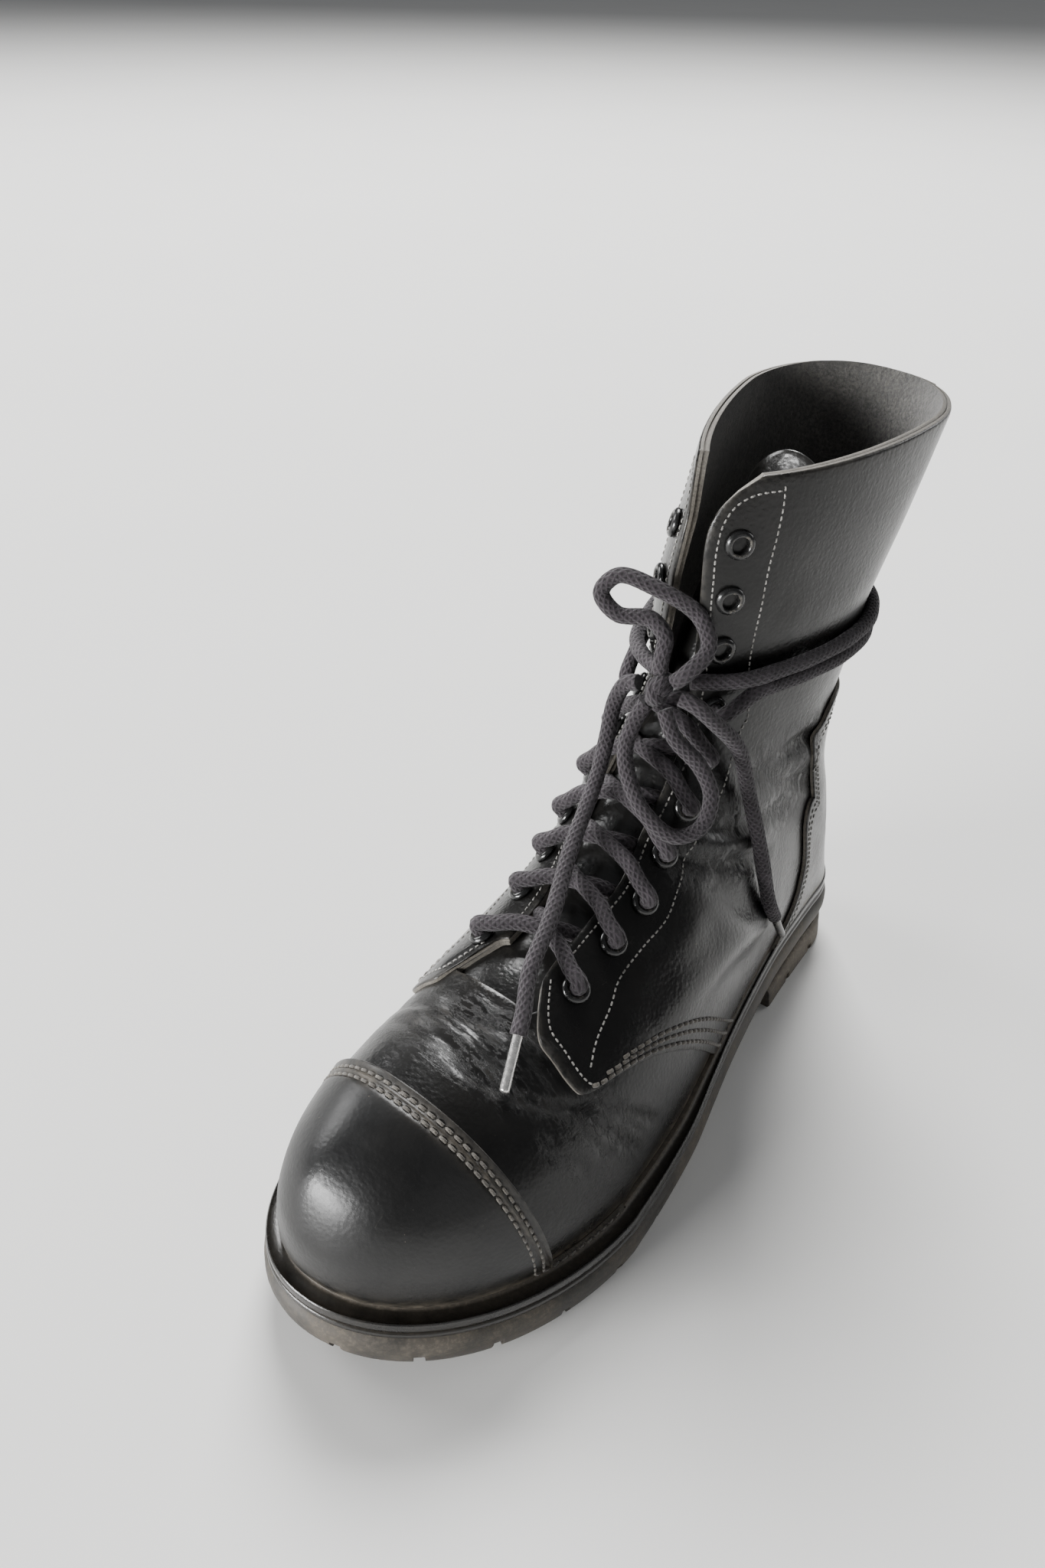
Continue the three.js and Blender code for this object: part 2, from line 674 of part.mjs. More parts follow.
function buildInsole() {
  const edge = -(WELT_TUCK + SEAM_GAP);
  const underside = (y) => midsoleTop(y) + SEAM_GAP;
  return soleSolid([
    { out: edge, up: underside },
    { out: edge, up: (y) => underside(y) + 0.7 * INSOLE_THICKNESS },
    { out: edge - INSOLE_THICKNESS / 3, up: (y) => underside(y) + INSOLE_THICKNESS },
  ]);
}

// Notches between the lugs around the rim of the sole, set out at an even pitch
function rimNotches(side, front, back, bottom) {
  const notches = [];
  let travelled = LUG_PITCH / 2;
  for (let k = 0; k < PLAN_STEPS; k += 1) {
    const a = planPoint(side, k, weltOut);
    const b = planPoint(side, k + 1, weltOut);
    const length = a.distanceTo(b);
    while (travelled < length) {
      const p = a.clone().lerp(b, travelled / length);
      if (p.y > front && p.y < back) {
        const turn = Math.atan2(b.y - a.y, b.x - a.x);
        const size = new THREE.Vector3(LUG_NOTCH_WIDTH, 2 * LUG_NOTCH_LENGTH, 2 * TREAD_DEPTH);
        notches.push(blockSolid(size, new THREE.Vector3(p.x, p.y, bottom(p.y)),
          new THREE.Euler(0, 0, turn)));
      }
      travelled += LUG_PITCH;
    }
    travelled -= length;
  }
  return notches;
}

// Tread: a sunk field inside the rim, which leaves its middle lugs standing
function treadField(bottom, front, back, lugs) {
  const inset = (y) => weltOut(y) - TREAD_RIM;
  const field = soleSolid([
    { out: inset, up: (y) => bottom(y) - 2 },
    { out: inset, up: (y) => bottom(y) + TREAD_DEPTH },
  ]);
  const reach = new THREE.Vector3(3 * BALL_WIDTH, front - back, 4 * SOLE_THICKNESS);
  const window = blockSolid(reach, new THREE.Vector3(0, -(front + back) / 2, 0));
  return lugs.reduce((rest, lug) => rest.subtract(lug), field.intersect(window));
}

function buildOutsole() {
  const body = soleSolid([
    { out: (y) => weltOut(y) - 0.5, up: soleBottom },
    { out: (y) => weltOut(y) + SOLE_BULGE, up: (y) => soleBottom(y) + SOLE_EDGE_ROUND },
    { out: (y) => weltOut(y) + SOLE_BULGE, up: (y) => outsoleTop(y) - SOLE_EDGE_ROUND },
    { out: (y) => weltOut(y), up: outsoleTop },
  ]);
  const lugs = [];
  const front = 0.90 * LAST_LENGTH - HEEL_REACH;
  const back = 0.40 * LAST_LENGTH - HEEL_REACH;
  for (let y = back + LUG_PITCH / 2; y < front; y += LUG_PITCH) {
    const size = new THREE.Vector3(CENTRE_LUG_WIDTH, CENTRE_LUG_LENGTH, 8 * TREAD_DEPTH);
    lugs.push(blockSolid(size, new THREE.Vector3(0, -y, 0)));
  }
  const cuts = [treadField(soleBottom, front, back, lugs)];
  ['lateral', 'medial'].forEach((side) => {
    cuts.push(...rimNotches(side, -2 * LAST_LENGTH, -back, soleBottom));
  });
  return cuts.reduce((rest, cut) => rest.subtract(cut), body);
}

function buildHeel() {
  const top = (y) => soleBottom(y) - SEAM_GAP;
  const floor = () => 0;
  const block = soleSolid([
    { out: (y) => weltOut(y) + HEEL_FLARE, up: floor },
    { out: (y) => weltOut(y) + HEEL_FLARE - 0.3, up: (y) => Math.max(top(y), 1) / 2 },
    { out: (y) => weltOut(y) + 0.3, up: (y) => Math.max(top(y), 1) },
  ]);
  const depth = HEEL_BREAST + 3 * HEEL_REACH;
  const seat = blockSolid(new THREE.Vector3(3 * HEEL_WIDTH, depth, 6 * HEEL_RISE),
    new THREE.Vector3(0, depth / 2 - HEEL_BREAST, 0));
  const lugGeometry = new THREE.CylinderGeometry(HEEL_LUG_RADIUS, HEEL_LUG_RADIUS,
    4 * TREAD_DEPTH, 8);
  const lug = geometrySolid(lugGeometry.rotateX(Math.PI / 2));
  const cuts = [treadField(floor, HEEL_BREAST - TREAD_RIM / 2, -HEEL_REACH, [lug])];
  ['lateral', 'medial'].forEach((side) => {
    cuts.push(...rimNotches(side, -HEEL_BREAST, LAST_LENGTH, floor));
  });
  return cuts.reduce((rest, cut) => rest.subtract(cut), block.intersect(seat));
}

// Evenly spread values from a to b
function spread(a, b, count) {
  return Array.from({ length: count + 1 }, (_, i) => a + (b - a) * i / count);
}

// Gap between the facings, cut from both sides of the leather
const THROAT_CUT_REACH = 9;

function throatCutter() {
  const stations = [...THROAT_ROWS.map((row) => row.station)];
  const grid = stations.map((station) => {
    const row = THROAT_ROWS.find((entry) => entry.station === station);
    return spread(-row.medial, row.lateral, 6).map((around) => [station, around]);
  });
  return sheetSolid(grid, LINING_FACE - THROAT_CUT_REACH, QUARTER_FACE + THROAT_CUT_REACH);
}

function facingEdge(station, side) {
  return curveValue(THROAT_ROWS, 'station', side, station);
}

// Place of an eyelet: its share of the half girth, set back from the facing's edge
function eyeletAround(station, side) {
  const share = facingEdge(station, side) + EYELET_INSET / section(station, side).girth;
  return side === 'lateral' ? share : -share;
}

function frameAt(station, around, offset) {
  const normal = formNormal(station, around);
  return {
    origin: offsetPoint(station, around, offset),
    turn: new THREE.Quaternion().setFromUnitVectors(new THREE.Vector3(0, 1, 0), normal),
  };
}

function placed(geometry, { origin, turn }) {
  return geometry.applyQuaternion(turn).translate(origin.x, origin.y, origin.z);
}

// Upper: one shell with the quarters a step higher than the vamp
function buildUpper() {
  const grid = [...VAMP_GRID, ...QUARTER_GRID, ...SHAFT_GRID];
  const face = (station, row) => (row < VAMP_GRID.length ? VAMP_FACE : QUARTER_FACE);
  let upper = sheetSolid(grid, LINING_FACE, face).subtract(throatCutter());
  EYELET_STATIONS.forEach((station) => {
    ['lateral', 'medial'].forEach((side) => {
      const radius = (EYELET_BARREL + SEAM_GAP) / Math.cos(Math.PI / EYELET_SIDES);
      const hole = new THREE.CylinderGeometry(radius, radius, 8 * UPPER_WALL, EYELET_SIDES);
      const frame = frameAt(station, eyeletAround(station, side), 0);
      upper = upper.subtract(geometrySolid(placed(hole, frame)));
    });
  });
  return upper;
}

function buildToeCap() {
  const inner = VAMP_FACE + SEAM_GAP;
  const sheet = sheetSolid(VAMP_GRID.slice(0, CAP_ROWS), inner, inner + CAP_THICKNESS);
  const top = SOLE_THICKNESS + 2 * TOE_HEIGHT;
  const lean = (CAP_LENGTH_AT_SOLE - CAP_LENGTH_AT_TOP) / TOE_HEIGHT;
  const foot = LAST_LENGTH - HEEL_REACH - CAP_LENGTH_AT_SOLE - lean * SOLE_THICKNESS;
  const outline = [
    [-foot, 0],
    [-foot - lean * top, top],
    [-2 * LAST_LENGTH, top],
    [-2 * LAST_LENGTH, 0],
  ];
  return sheet.intersect(sidePrism(outline, 2 * BALL_WIDTH));
}

// Heel counter, outlined in side view as shares of HEEL_WIDTH along and of SHAFT_HEIGHT up
const COUNTER_ROWS = table(['forward', 'up'], [
  [0.72, 0.10],
  [0.66, 0.14],
  [0.46, 0.19],
  [0.40, 0.26],
  [0.46, 0.37],
  [0.48, 0.50],
  [0.38, 0.545],
  [0.10, 0.575],
  [-0.30, 0.585],
  [-1.00, 0.585],
  [-1.00, 0.10],
]);

// Second layer of leather on the quarters, between two rows of the shaft
function overlaySolid(from, to) {
  const inner = QUARTER_FACE + SEAM_GAP;
  return sheetSolid(SHAFT_GRID.slice(from, to), inner, inner + COUNTER_THICKNESS);
}

function buildCounter() {
  const sheet = overlaySolid(0, SHAFT_GRID.length - 1);
  const outline = COUNTER_ROWS.map((row) => [-row.forward * HEEL_WIDTH, row.up * SHAFT_HEIGHT]);
  return sheet.intersect(sidePrism(outline, BALL_WIDTH));
}

function buildBackTab() {
  const sheet = overlaySolid(SHAFT_GRID.length - 3, SHAFT_GRID.length);
  const size = new THREE.Vector3(BACK_TAB_WIDTH, 4 * HEEL_REACH, BACK_TAB_LENGTH);
  const top = alongToY(COLLAR_ROWS[2].seatAlong);
  const centre = new THREE.Vector3(0, top, SHAFT_HEIGHT - BACK_TAB_LENGTH / 2 + 2);
  return sheet.intersect(blockSolid(size, centre));
}

function buildTongue() {
  const face = LINING_FACE - TONGUE_GAP;
  const stations = [0.30, 0.35, 0.40, 0.46, 0.52, 0.58, 0.65, 0.73, 0.80, 0.87, 0.94, 1];
  const grid = stations.map((station) => {
    const lateral = curveValue(TONGUE_ROWS, 'station', 'lateral', station);
    const medial = curveValue(TONGUE_ROWS, 'station', 'medial', station);
    return spread(-medial, lateral, 6).map((around) => [station, around]);
  });
  return sheetSolid(grid, face - TONGUE_THICKNESS, face,
    (station) => TONGUE_SLOUCH * curveValue(TONGUE_ROWS, 'station', 'slide', station));
}

// Eyelet: a rolled ring on the leather with its barrel through the facing
function eyeletGeometry() {
  const depth = OVERLAY_STEP + UPPER_WALL + EYELET_SEAT;
  const profile = [
    [EYELET_BORE, -depth],
    [EYELET_BARREL, -depth],
    [EYELET_BARREL, 0],
    [EYELET_FLANGE, 0],
    [EYELET_BORE, EYELET_HEIGHT],
    [EYELET_BORE, -depth],
  ];
  return new THREE.LatheGeometry(profile.map(([r, z]) => new THREE.Vector2(r, z)), EYELET_SIDES);
}

// Round cord through points, as an extruded section
function cordSolid(points, diameter, steps) {
  const curve = new THREE.CatmullRomCurve3(points, false, 'centripetal');
  const ring = Array.from({ length: LACE_SIDES }, (_, i) => {
    const angle = 2 * Math.PI * i / LACE_SIDES;
    return new THREE.Vector2(Math.cos(angle), Math.sin(angle)).multiplyScalar(diameter / 2);
  });
  return geometrySolid(new THREE.ExtrudeGeometry(new THREE.Shape(ring), {
    steps, extrudePath: curve, bevelEnabled: false,
  }));
}

// Two strands that cross over the tongue between one pair of eyelets and the next
function buildLaceCross(row) {
  const station = EYELET_STATIONS[row];
  const next = EYELET_STATIONS[row + 1];
  const at = (share) => station + (next - station) * share;
  const radius = LACE_DIAMETER / 2;
  const overFacing = QUARTER_FACE + radius + LACE_CLEARANCE;
  const inGap = LINING_FACE + radius + LACE_CLEARANCE;
  const overEyelet = overFacing + EYELET_SEAT + EYELET_HEIGHT + LACE_CLEARANCE;
  const strand = (side) => {
    const sign = side === 'lateral' ? 1 : -1;
    const other = side === 'lateral' ? 'medial' : 'lateral';
    const edge = (share) => sign * facingEdge(at(share), side);
    const farEdge = (share) => -sign * facingEdge(at(share), other);
    const clear = (radius + LACE_CLEARANCE) / section(station, side).girth;
    return cordSolid([
      offsetPoint(station, eyeletAround(station, side), overEyelet),
      offsetPoint(at(0.12), (eyeletAround(station, side) + edge(0.12)) / 2, overFacing + 0.8),
      offsetPoint(at(0.30), edge(0.30), overFacing + 0.3),
      offsetPoint(at(0.50), (edge(0.5) + farEdge(0.5)) / 2, (overFacing + inGap) / 2 + 0.6),
      offsetPoint(at(0.66), farEdge(0.66) + sign * (clear + 0.02), inGap + 0.3),
    ], LACE_DIAMETER, 5);
  };
  return strand('lateral').add(strand('medial'));
}

// Station of the boot at a height over the floor, on one line around it
function stationAtHeight(around, height) {
  let low = 0.5;
  let high = 1;
  for (let i = 0; i < 24; i += 1) {
    const middle = (low + high) / 2;
    if (formPoint(middle, around).z < height) {
      low = middle;
    } else {
      high = middle;
    }
  }
  return low;
}

// Share of the half girth at which the turns pass the eyelets
const EYELET_SHARE = 0.16;

// Lace around the ankle: two turns side by side, midway between the last laced eyelets and the
// next. They rise over the eyelets' rims. The lower one starts and ends at the last laced eyelets,
// the ends of the upper one meet under the knot.
function buildLaceWrap(turn) {
  const offset = QUARTER_FACE + LACE_DIAMETER / 2 + LACE_CLEARANCE + SEAM_GAP;
  const overEyelet = EYELET_SEAT + EYELET_HEIGHT;
  const heights = EYELET_STATIONS.slice(LACED_ROWS - 1, LACED_ROWS + 1)
    .map((station) => formPoint(station, eyeletAround(station, 'lateral')).z);
  const middle = (heights[0] + heights[1]) / 2 - LACE_WRAP_DROP;
  const height = middle + turn * (LACE_DIAMETER + LACE_CLEARANCE) / 2;
  const shares = turn > 0 ? [0.022, 0.08, 0.16, 0.27, 0.4, 0.54, 0.68, 0.82, 0.93]
    : [0.19, 0.27, 0.4, 0.54, 0.68, 0.82, 0.93];
  const at = (around) => {
    const rise = Math.max(0, 1 - Math.abs(Math.abs(around) - EYELET_SHARE) / EYELET_SHARE);
    return offsetPoint(stationAtHeight(around, height), around, offset + rise * overEyelet);
  };
  const eyelet = (side) => {
    const station = EYELET_STATIONS[LACED_ROWS - 1];
    return offsetPoint(station, eyeletAround(station, side), offset + overEyelet);
  };
  const lateral = shares.map((share) => at(share));
  const medial = [...shares].reverse().map((share) => at(-share));
  const route = [...lateral, at(1), ...medial];
  return cordSolid(turn > 0 ? route : [eyelet('lateral'), ...route, eyelet('medial')],
    LACE_DIAMETER, 20);
}

// Free lace: the places of the bow, set by hand in millimetres
const KNOT_CENTRE = [4, -99, 169];
const UPPER_LOOP = [
  [9.2, -99, 173.6], [12.5, -97.5, 177.5], [15, -90, 184], [9, -87, 192], [-5, -93, 200],
  [-16, -97, 202], [-20, -100, 196], [-14, -99, 190], [-4, -95, 190], [2.5, -96, 186],
  [3.5, -98.5, 181], [3.4, -99, 175.2],
];
const LOWER_LOOP = [
  [1.2, -101.8, 164.2], [-0.5, -105, 158], [0, -110, 150], [6, -115, 142], [15, -118, 135],
  [24, -115, 129], [29, -107, 130], [28, -100, 138], [22, -99, 147], [13, -102, 156],
  [7.6, -100.7, 163.8],
];
const LEFT_END = [
  [-3.9, -99, 168.8], [-8, -99.5, 167], [-11, -101, 160], [-10, -106, 148], [-8, -113, 138],
  [-5, -124, 130], [-1, -137, 123], [7, -157, 113], [12, -174, 105], [17, -183, 98],
  [19, -188, 94],
];
const RIGHT_END = [
  [11.9, -98.8, 168.8], [16.5, -97.5, 167.5], [22, -93, 161], [27, -84, 149], [30, -76, 127],
  [36, -73, 105], [41, -68, 79], [41.5, -61, 67],
];

function pointsOf(list) {
  return list.map(([x, y, z]) => new THREE.Vector3(x, y, z));
}

// Crimped tip that carries on straight from the end of a cord
function buildAglet(cord) {
  const [before, last] = pointsOf(cord.slice(-2));
  const along = last.clone().sub(before).normalize();
  const start = last.clone().addScaledVector(along, SEAM_GAP);
  return cordSolid([start, start.clone().addScaledVector(along, AGLET_LENGTH)],
    AGLET_DIAMETER, 1);
}

function buildKnot() {
  const geometry = new THREE.SphereGeometry(1, 8, 6);
  geometry.scale(LACE_DIAMETER * 1.35, LACE_DIAMETER * 0.95, LACE_DIAMETER * 1.05);
  return geometry.translate(...KNOT_CENTRE);
}

// Colours and finishes
const finish = (color, roughness, metalness = 0) => (
  new THREE.MeshStandardMaterial({ color, roughness, metalness }));
const FINISHES = {
  leather: finish(0x17171a, 0.35),
  polished: finish(0x121214, 0.18),
  tongueLeather: finish(0x1c1c1f, 0.4),
  rubber: finish(0x3b3a37, 0.85),
  weltRubber: finish(0x161616, 0.4),
  insoleBoard: finish(0x6b5a48, 0.9),
  metal: finish(0x2a2a2a, 0.35, 0.8),
  lace: finish(0x3c363c, 0.95),
  steel: finish(0xb8b8b8, 0.3, 1),
};

const boot = new THREE.Group();

function addMesh(name, geometry, material) {
  const mesh = new THREE.Mesh(geometry, FINISHES[material].clone());
  mesh.name = name;
  boot.add(mesh);
}

function addSolid(name, solid, material) {
  addMesh(name, solidGeometry(solid), material);
}

addSolid('outsole', buildOutsole(), 'rubber');
addSolid('heel', buildHeel(), 'rubber');
addSolid('midsole', buildMidsole(), 'weltRubber');
addSolid('welt', buildWelt(), 'weltRubber');
addSolid('insole', buildInsole(), 'insoleBoard');
addSolid('upper', buildUpper(), 'leather');
addSolid('toe_cap', buildToeCap(), 'polished');
addSolid('counter', buildCounter(), 'leather');
addSolid('back_tab', buildBackTab(), 'leather');
addSolid('tongue', buildTongue(), 'tongueLeather');

EYELET_STATIONS.forEach((station, row) => {
  ['lateral', 'medial'].forEach((side) => {
    const frame = frameAt(station, eyeletAround(station, side), QUARTER_FACE + EYELET_SEAT);
    const solid = geometrySolid(placed(eyeletGeometry(), frame));
    addSolid(`eyelet_${side}_${row + 1}`, solid, 'metal');
  });
});

for (let row = 0; row < LACED_ROWS - 1; row += 1) {
  addSolid(`lace_cross_${row + 1}`, buildLaceCross(row), 'lace');
}
addSolid('lace_wrap_upper', buildLaceWrap(1), 'lace');
addSolid('lace_wrap_lower', buildLaceWrap(-1), 'lace');
addSolid('lace_knot', geometrySolid(buildKnot()), 'lace');
addSolid('lace_loop_upper', cordSolid(pointsOf(UPPER_LOOP), LACE_DIAMETER, 16), 'lace');
addSolid('lace_loop_lower', cordSolid(pointsOf(LOWER_LOOP), LACE_DIAMETER, 16), 'lace');
addSolid('lace_end_left', cordSolid(pointsOf(LEFT_END), LACE_DIAMETER, 16), 'lace');
addSolid('lace_end_right', cordSolid(pointsOf(RIGHT_END), LACE_DIAMETER, 14), 'lace');
addSolid('aglet_left', buildAglet(LEFT_END), 'steel');
addSolid('aglet_right', buildAglet(RIGHT_END), 'steel');

export default boot;
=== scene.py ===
"""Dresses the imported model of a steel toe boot: leather, thread, laces, sole and light."""

import logging
import math
from collections.abc import Callable, Sequence
from dataclasses import dataclass, field
from enum import Enum

import bmesh
import bpy
import numpy as np
from mathutils import Matrix


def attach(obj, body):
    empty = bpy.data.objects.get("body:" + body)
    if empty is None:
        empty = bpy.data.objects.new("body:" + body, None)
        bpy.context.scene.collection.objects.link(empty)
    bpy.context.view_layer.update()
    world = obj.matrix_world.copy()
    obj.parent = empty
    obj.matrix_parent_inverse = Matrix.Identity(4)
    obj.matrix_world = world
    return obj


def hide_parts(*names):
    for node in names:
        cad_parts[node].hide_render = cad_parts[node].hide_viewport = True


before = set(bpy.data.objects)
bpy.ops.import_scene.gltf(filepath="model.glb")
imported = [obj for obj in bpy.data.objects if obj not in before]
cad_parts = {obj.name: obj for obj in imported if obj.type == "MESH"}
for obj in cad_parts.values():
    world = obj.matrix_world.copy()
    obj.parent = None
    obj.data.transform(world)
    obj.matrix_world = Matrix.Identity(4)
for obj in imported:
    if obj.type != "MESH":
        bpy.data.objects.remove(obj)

LOG = logging.getLogger("boot")
MM = 0.001
Rgb = tuple[float, float, float]


class Side(Enum):
    """Side of the boot, with its sign along X."""

    LATERAL = 1
    MEDIAL = -1

    @property
    def word(self) -> str:
        """Lower-case word used in names."""
        return self.name.lower()


# The foot form: tables of shares, as the part's solids use them

STATION_ROWS = np.array([
    # station, ridge along, ridge up, seat along, seat up, shift, lateral, medial, widest,
    # lateral crown, medial crown, tuck
    [0.00, 1.000, 0.000, 0.699, 0, -0.04, 0.530, 0.462, 0.00, 1.95, 2.20, 2.0],
    [0.05, 1.007, 0.110, 0.695, 0, -0.04, 0.534, 0.468, 0.02, 2.00, 2.15, 2.0],
    [0.10, 1.000, 0.335, 0.692, 0, -0.04, 0.538, 0.472, 0.04, 2.10, 2.10, 2.0],
    [0.15, 0.969, 0.576, 0.685, 0, -0.04, 0.542, 0.472, 0.06, 2.15, 2.05, 2.0],
    [0.20, 0.911, 0.772, 0.674, 0, -0.03, 0.542, 0.466, 0.09, 2.20, 2.05, 2.0],
    [0.25, 0.838, 0.909, 0.660, 0, -0.02, 0.540, 0.454, 0.13, 2.20, 2.05, 2.0],
    [0.30, 0.765, 1.000, 0.636, 0, -0.01, 0.533, 0.434, 0.18, 2.15, 2.05, 2.0],
    [0.35, 0.692, 0.719, 0.598, 0, 0.00, 0.523, 0.420, 0.22, 2.05, 2.10, 2.0],
    [0.40, 0.618, 0.768, 0.545, 0, 0.01, 0.504, 0.400, 0.26, 1.95, 2.15, 2.0],
    [0.45, 0.549, 0.831, 0.476, 0, 0.02, 0.472, 0.375, 0.28, 1.90, 2.20, 2.0],
    [0.50, 0.493, 0.908, 0.392, 0, 0.03, 0.432, 0.360, 0.30, 1.85, 2.30, 2.0],
    [0.55, 0.451, -0.005, 0.294, 0, 0.07, 0.650, 0.583, 0.32, 1.85, 2.35, 2.0],
    [0.60, 0.425, 0.108, 0.190, 0, 0.07, 0.597, 0.558, 0.33, 1.85, 2.30, 2.0],
    [0.65, 0.411, 0.205, 0.092, 0, 0.07, 0.553, 0.542, 0.34, 1.85, 2.20, 2.0],
    [0.70, 0.404, 0.284, 0.030, 0, 0.07, 0.530, 0.525, 0.36, 1.85, 2.10, 2.0],
    [0.74, 0.402, 0.353, 0.000, 0, 0.07, 0.517, 0.508, 0.38, 1.85, 2.00, 2.0],
    [0.78, 0.402, 0.431, 0.012, 0.244, 0.07, 0.518, 0.518, 0.40, 1.85, 1.95, 1.95],
    [0.82, 0.402, 0.510, 0.042, 0.345, 0.07, 0.500, 0.509, 0.41, 1.85, 1.90, 1.9],
    [0.86, 0.402, 0.589, 0.057, 0.445, 0.07, 0.518, 0.509, 0.41, 1.85, 1.85, 1.9],
    [0.90, 0.402, 0.666, 0.050, 0.546, 0.07, 0.553, 0.518, 0.40, 1.85, 1.80, 1.9],
    [0.94, 0.399, 0.760, 0.028, 0.685, 0.055, 0.465, 0.410, 0.38, 1.85, 1.70, 1.9],
    [0.97, 0.394, 0.853, -0.010, 0.828, 0.055, 0.507, 0.417, 0.35, 1.85, 1.55, 2.0],
    [1.00, 0.385, 0.981, -0.056, 1.004, 0.055, 0.549, 0.451, 0.32, 1.85, 1.40, 2.1],
])
FEATHER_ROWS = np.array([
    # along, lateral, medial
    [0.099, 0.310, 0.295],
    [0.152, 0.320, 0.290],
    [0.228, 0.338, 0.275],
    [0.308, 0.370, 0.265],
    [0.392, 0.410, 0.275],
    [0.476, 0.455, 0.312],
    [0.552, 0.495, 0.370],
    [0.622, 0.515, 0.415],
    [0.699, 0.530, 0.462],
])
WELT_ROWS = np.array([
    # along, share of the welt's width
    [-0.02, 0.50], [0.10, 0.42], [0.40, 0.42], [0.55, 0.68], [0.70, 0.93], [1.02, 1.00],
])
THROAT_ROWS = np.array([
    # station, lateral, medial
    [0.331, 0.150, 0.170], [0.350, 0.120, 0.085], [0.370, 0.105, 0.062],
    [0.410, 0.100, 0.065], [0.431, 0.100, 0.080], [0.456, 0.098, 0.105],
    [0.500, 0.065, 0.140], [0.550, 0.050, 0.140], [0.620, 0.042, 0.120],
    [0.706, 0.025, 0.080], [0.812, 0.025, 0.055], [0.894, 0.025, 0.050],
    [0.956, 0.020, 0.045], [0.975, 0.030, 0.055], [0.990, 0.060, 0.085],
    [1.000, 0.100, 0.125], [1.030, 0.170, 0.200],
])
QUARTER_ROWS = np.array([
    # around, station
    [0.000, 0.372], [0.090, 0.366], [0.125, 0.350], [0.213, 0.319], [0.288, 0.311],
    [0.410, 0.303], [0.440, 0.310], [0.475, 0.338], [0.525, 0.369], [0.612, 0.400],
    [0.750, 0.431], [1.000, 0.469],
])
TONGUE_ROWS = np.array([
    # station, lateral, medial, slide
    [0.300, 0.30, 0.30, 0.00], [0.400, 0.25, 0.26, 0.00], [0.500, 0.22, 0.27, 0.00],
    [0.620, 0.19, 0.24, 0.02], [0.740, 0.17, 0.20, 0.08], [0.860, 0.17, 0.18, 0.22],
    [0.940, 0.15, 0.14, 0.34], [1.000, 0.13, 0.08, 0.44],
])
EYELET_STATIONS = (0.365, 0.413, 0.456, 0.500, 0.550, 0.615, 0.700, 0.812, 0.893, 0.955)


def smooth_curve(rows: np.ndarray, column: int, at: np.ndarray | float) -> np.ndarray:
    """Smooth curve through one column of a table, flat past its ends.

    Args:
        rows: Table whose first column rises.
        column: Column to read.
        at: Where to read it.

    Returns:
        The values, in the shape of at.
    """
    keys = rows[:, 0]
    values = rows[:, column]
    x = np.clip(np.asarray(at, float), keys[0], keys[-1])
    i = np.clip(np.searchsorted(keys, x, side="right") - 1, 0, len(keys) - 2)
    slopes = np.empty(len(keys))
    slopes[1:-1] = (values[2:] - values[:-2]) / (keys[2:] - keys[:-2])
    slopes[0] = (values[1] - values[0]) / (keys[1] - keys[0])
    slopes[-1] = (values[-1] - values[-2]) / (keys[-1] - keys[-2])
    step = keys[i + 1] - keys[i]
    t = (x - keys[i]) / step
    t2 = t * t
    t3 = t2 * t
    return ((2 * t3 - 3 * t2 + 1) * values[i] + (t3 - 2 * t2 + t) * step * slopes[i]
            + (3 * t2 - 2 * t3) * values[i + 1] + (t3 - t2) * step * slopes[i + 1])


def smooth_step(t: np.ndarray | float) -> np.ndarray:
    """Soft step from 0 to 1 as t goes from 0 to 1."""
    x = np.clip(t, 0, 1)
    return x * x * (3 - 2 * x)


def unit(vectors: np.ndarray) -> np.ndarray:
    """Vectors of length one."""
    return vectors / (np.linalg.norm(vectors, axis=-1, keepdims=True) + 1e-12)


def lengths_along(line: np.ndarray) -> np.ndarray:
    """Length from a line's start to each of its points."""
    return np.concatenate([[0], np.cumsum(np.linalg.norm(np.diff(line, axis=0), axis=1))])


def read_line(at: np.ndarray | float, lengths: np.ndarray, values: np.ndarray) -> np.ndarray:
    """Values stored along a line, read at lengths along it."""
    return np.stack([np.interp(at, lengths, column) for column in values.T], axis=-1)


def bell(at: np.ndarray, middle: float, width: float) -> np.ndarray:
    """Bell curve of height one."""
    return np.exp(-((at - middle) / width) ** 2)


def spokes(angles: np.ndarray, first: np.ndarray, second: np.ndarray) -> np.ndarray:
    """Directions round a circle between two that stand square."""
    return np.cos(angles)[:, None] * first + np.sin(angles)[:, None] * second


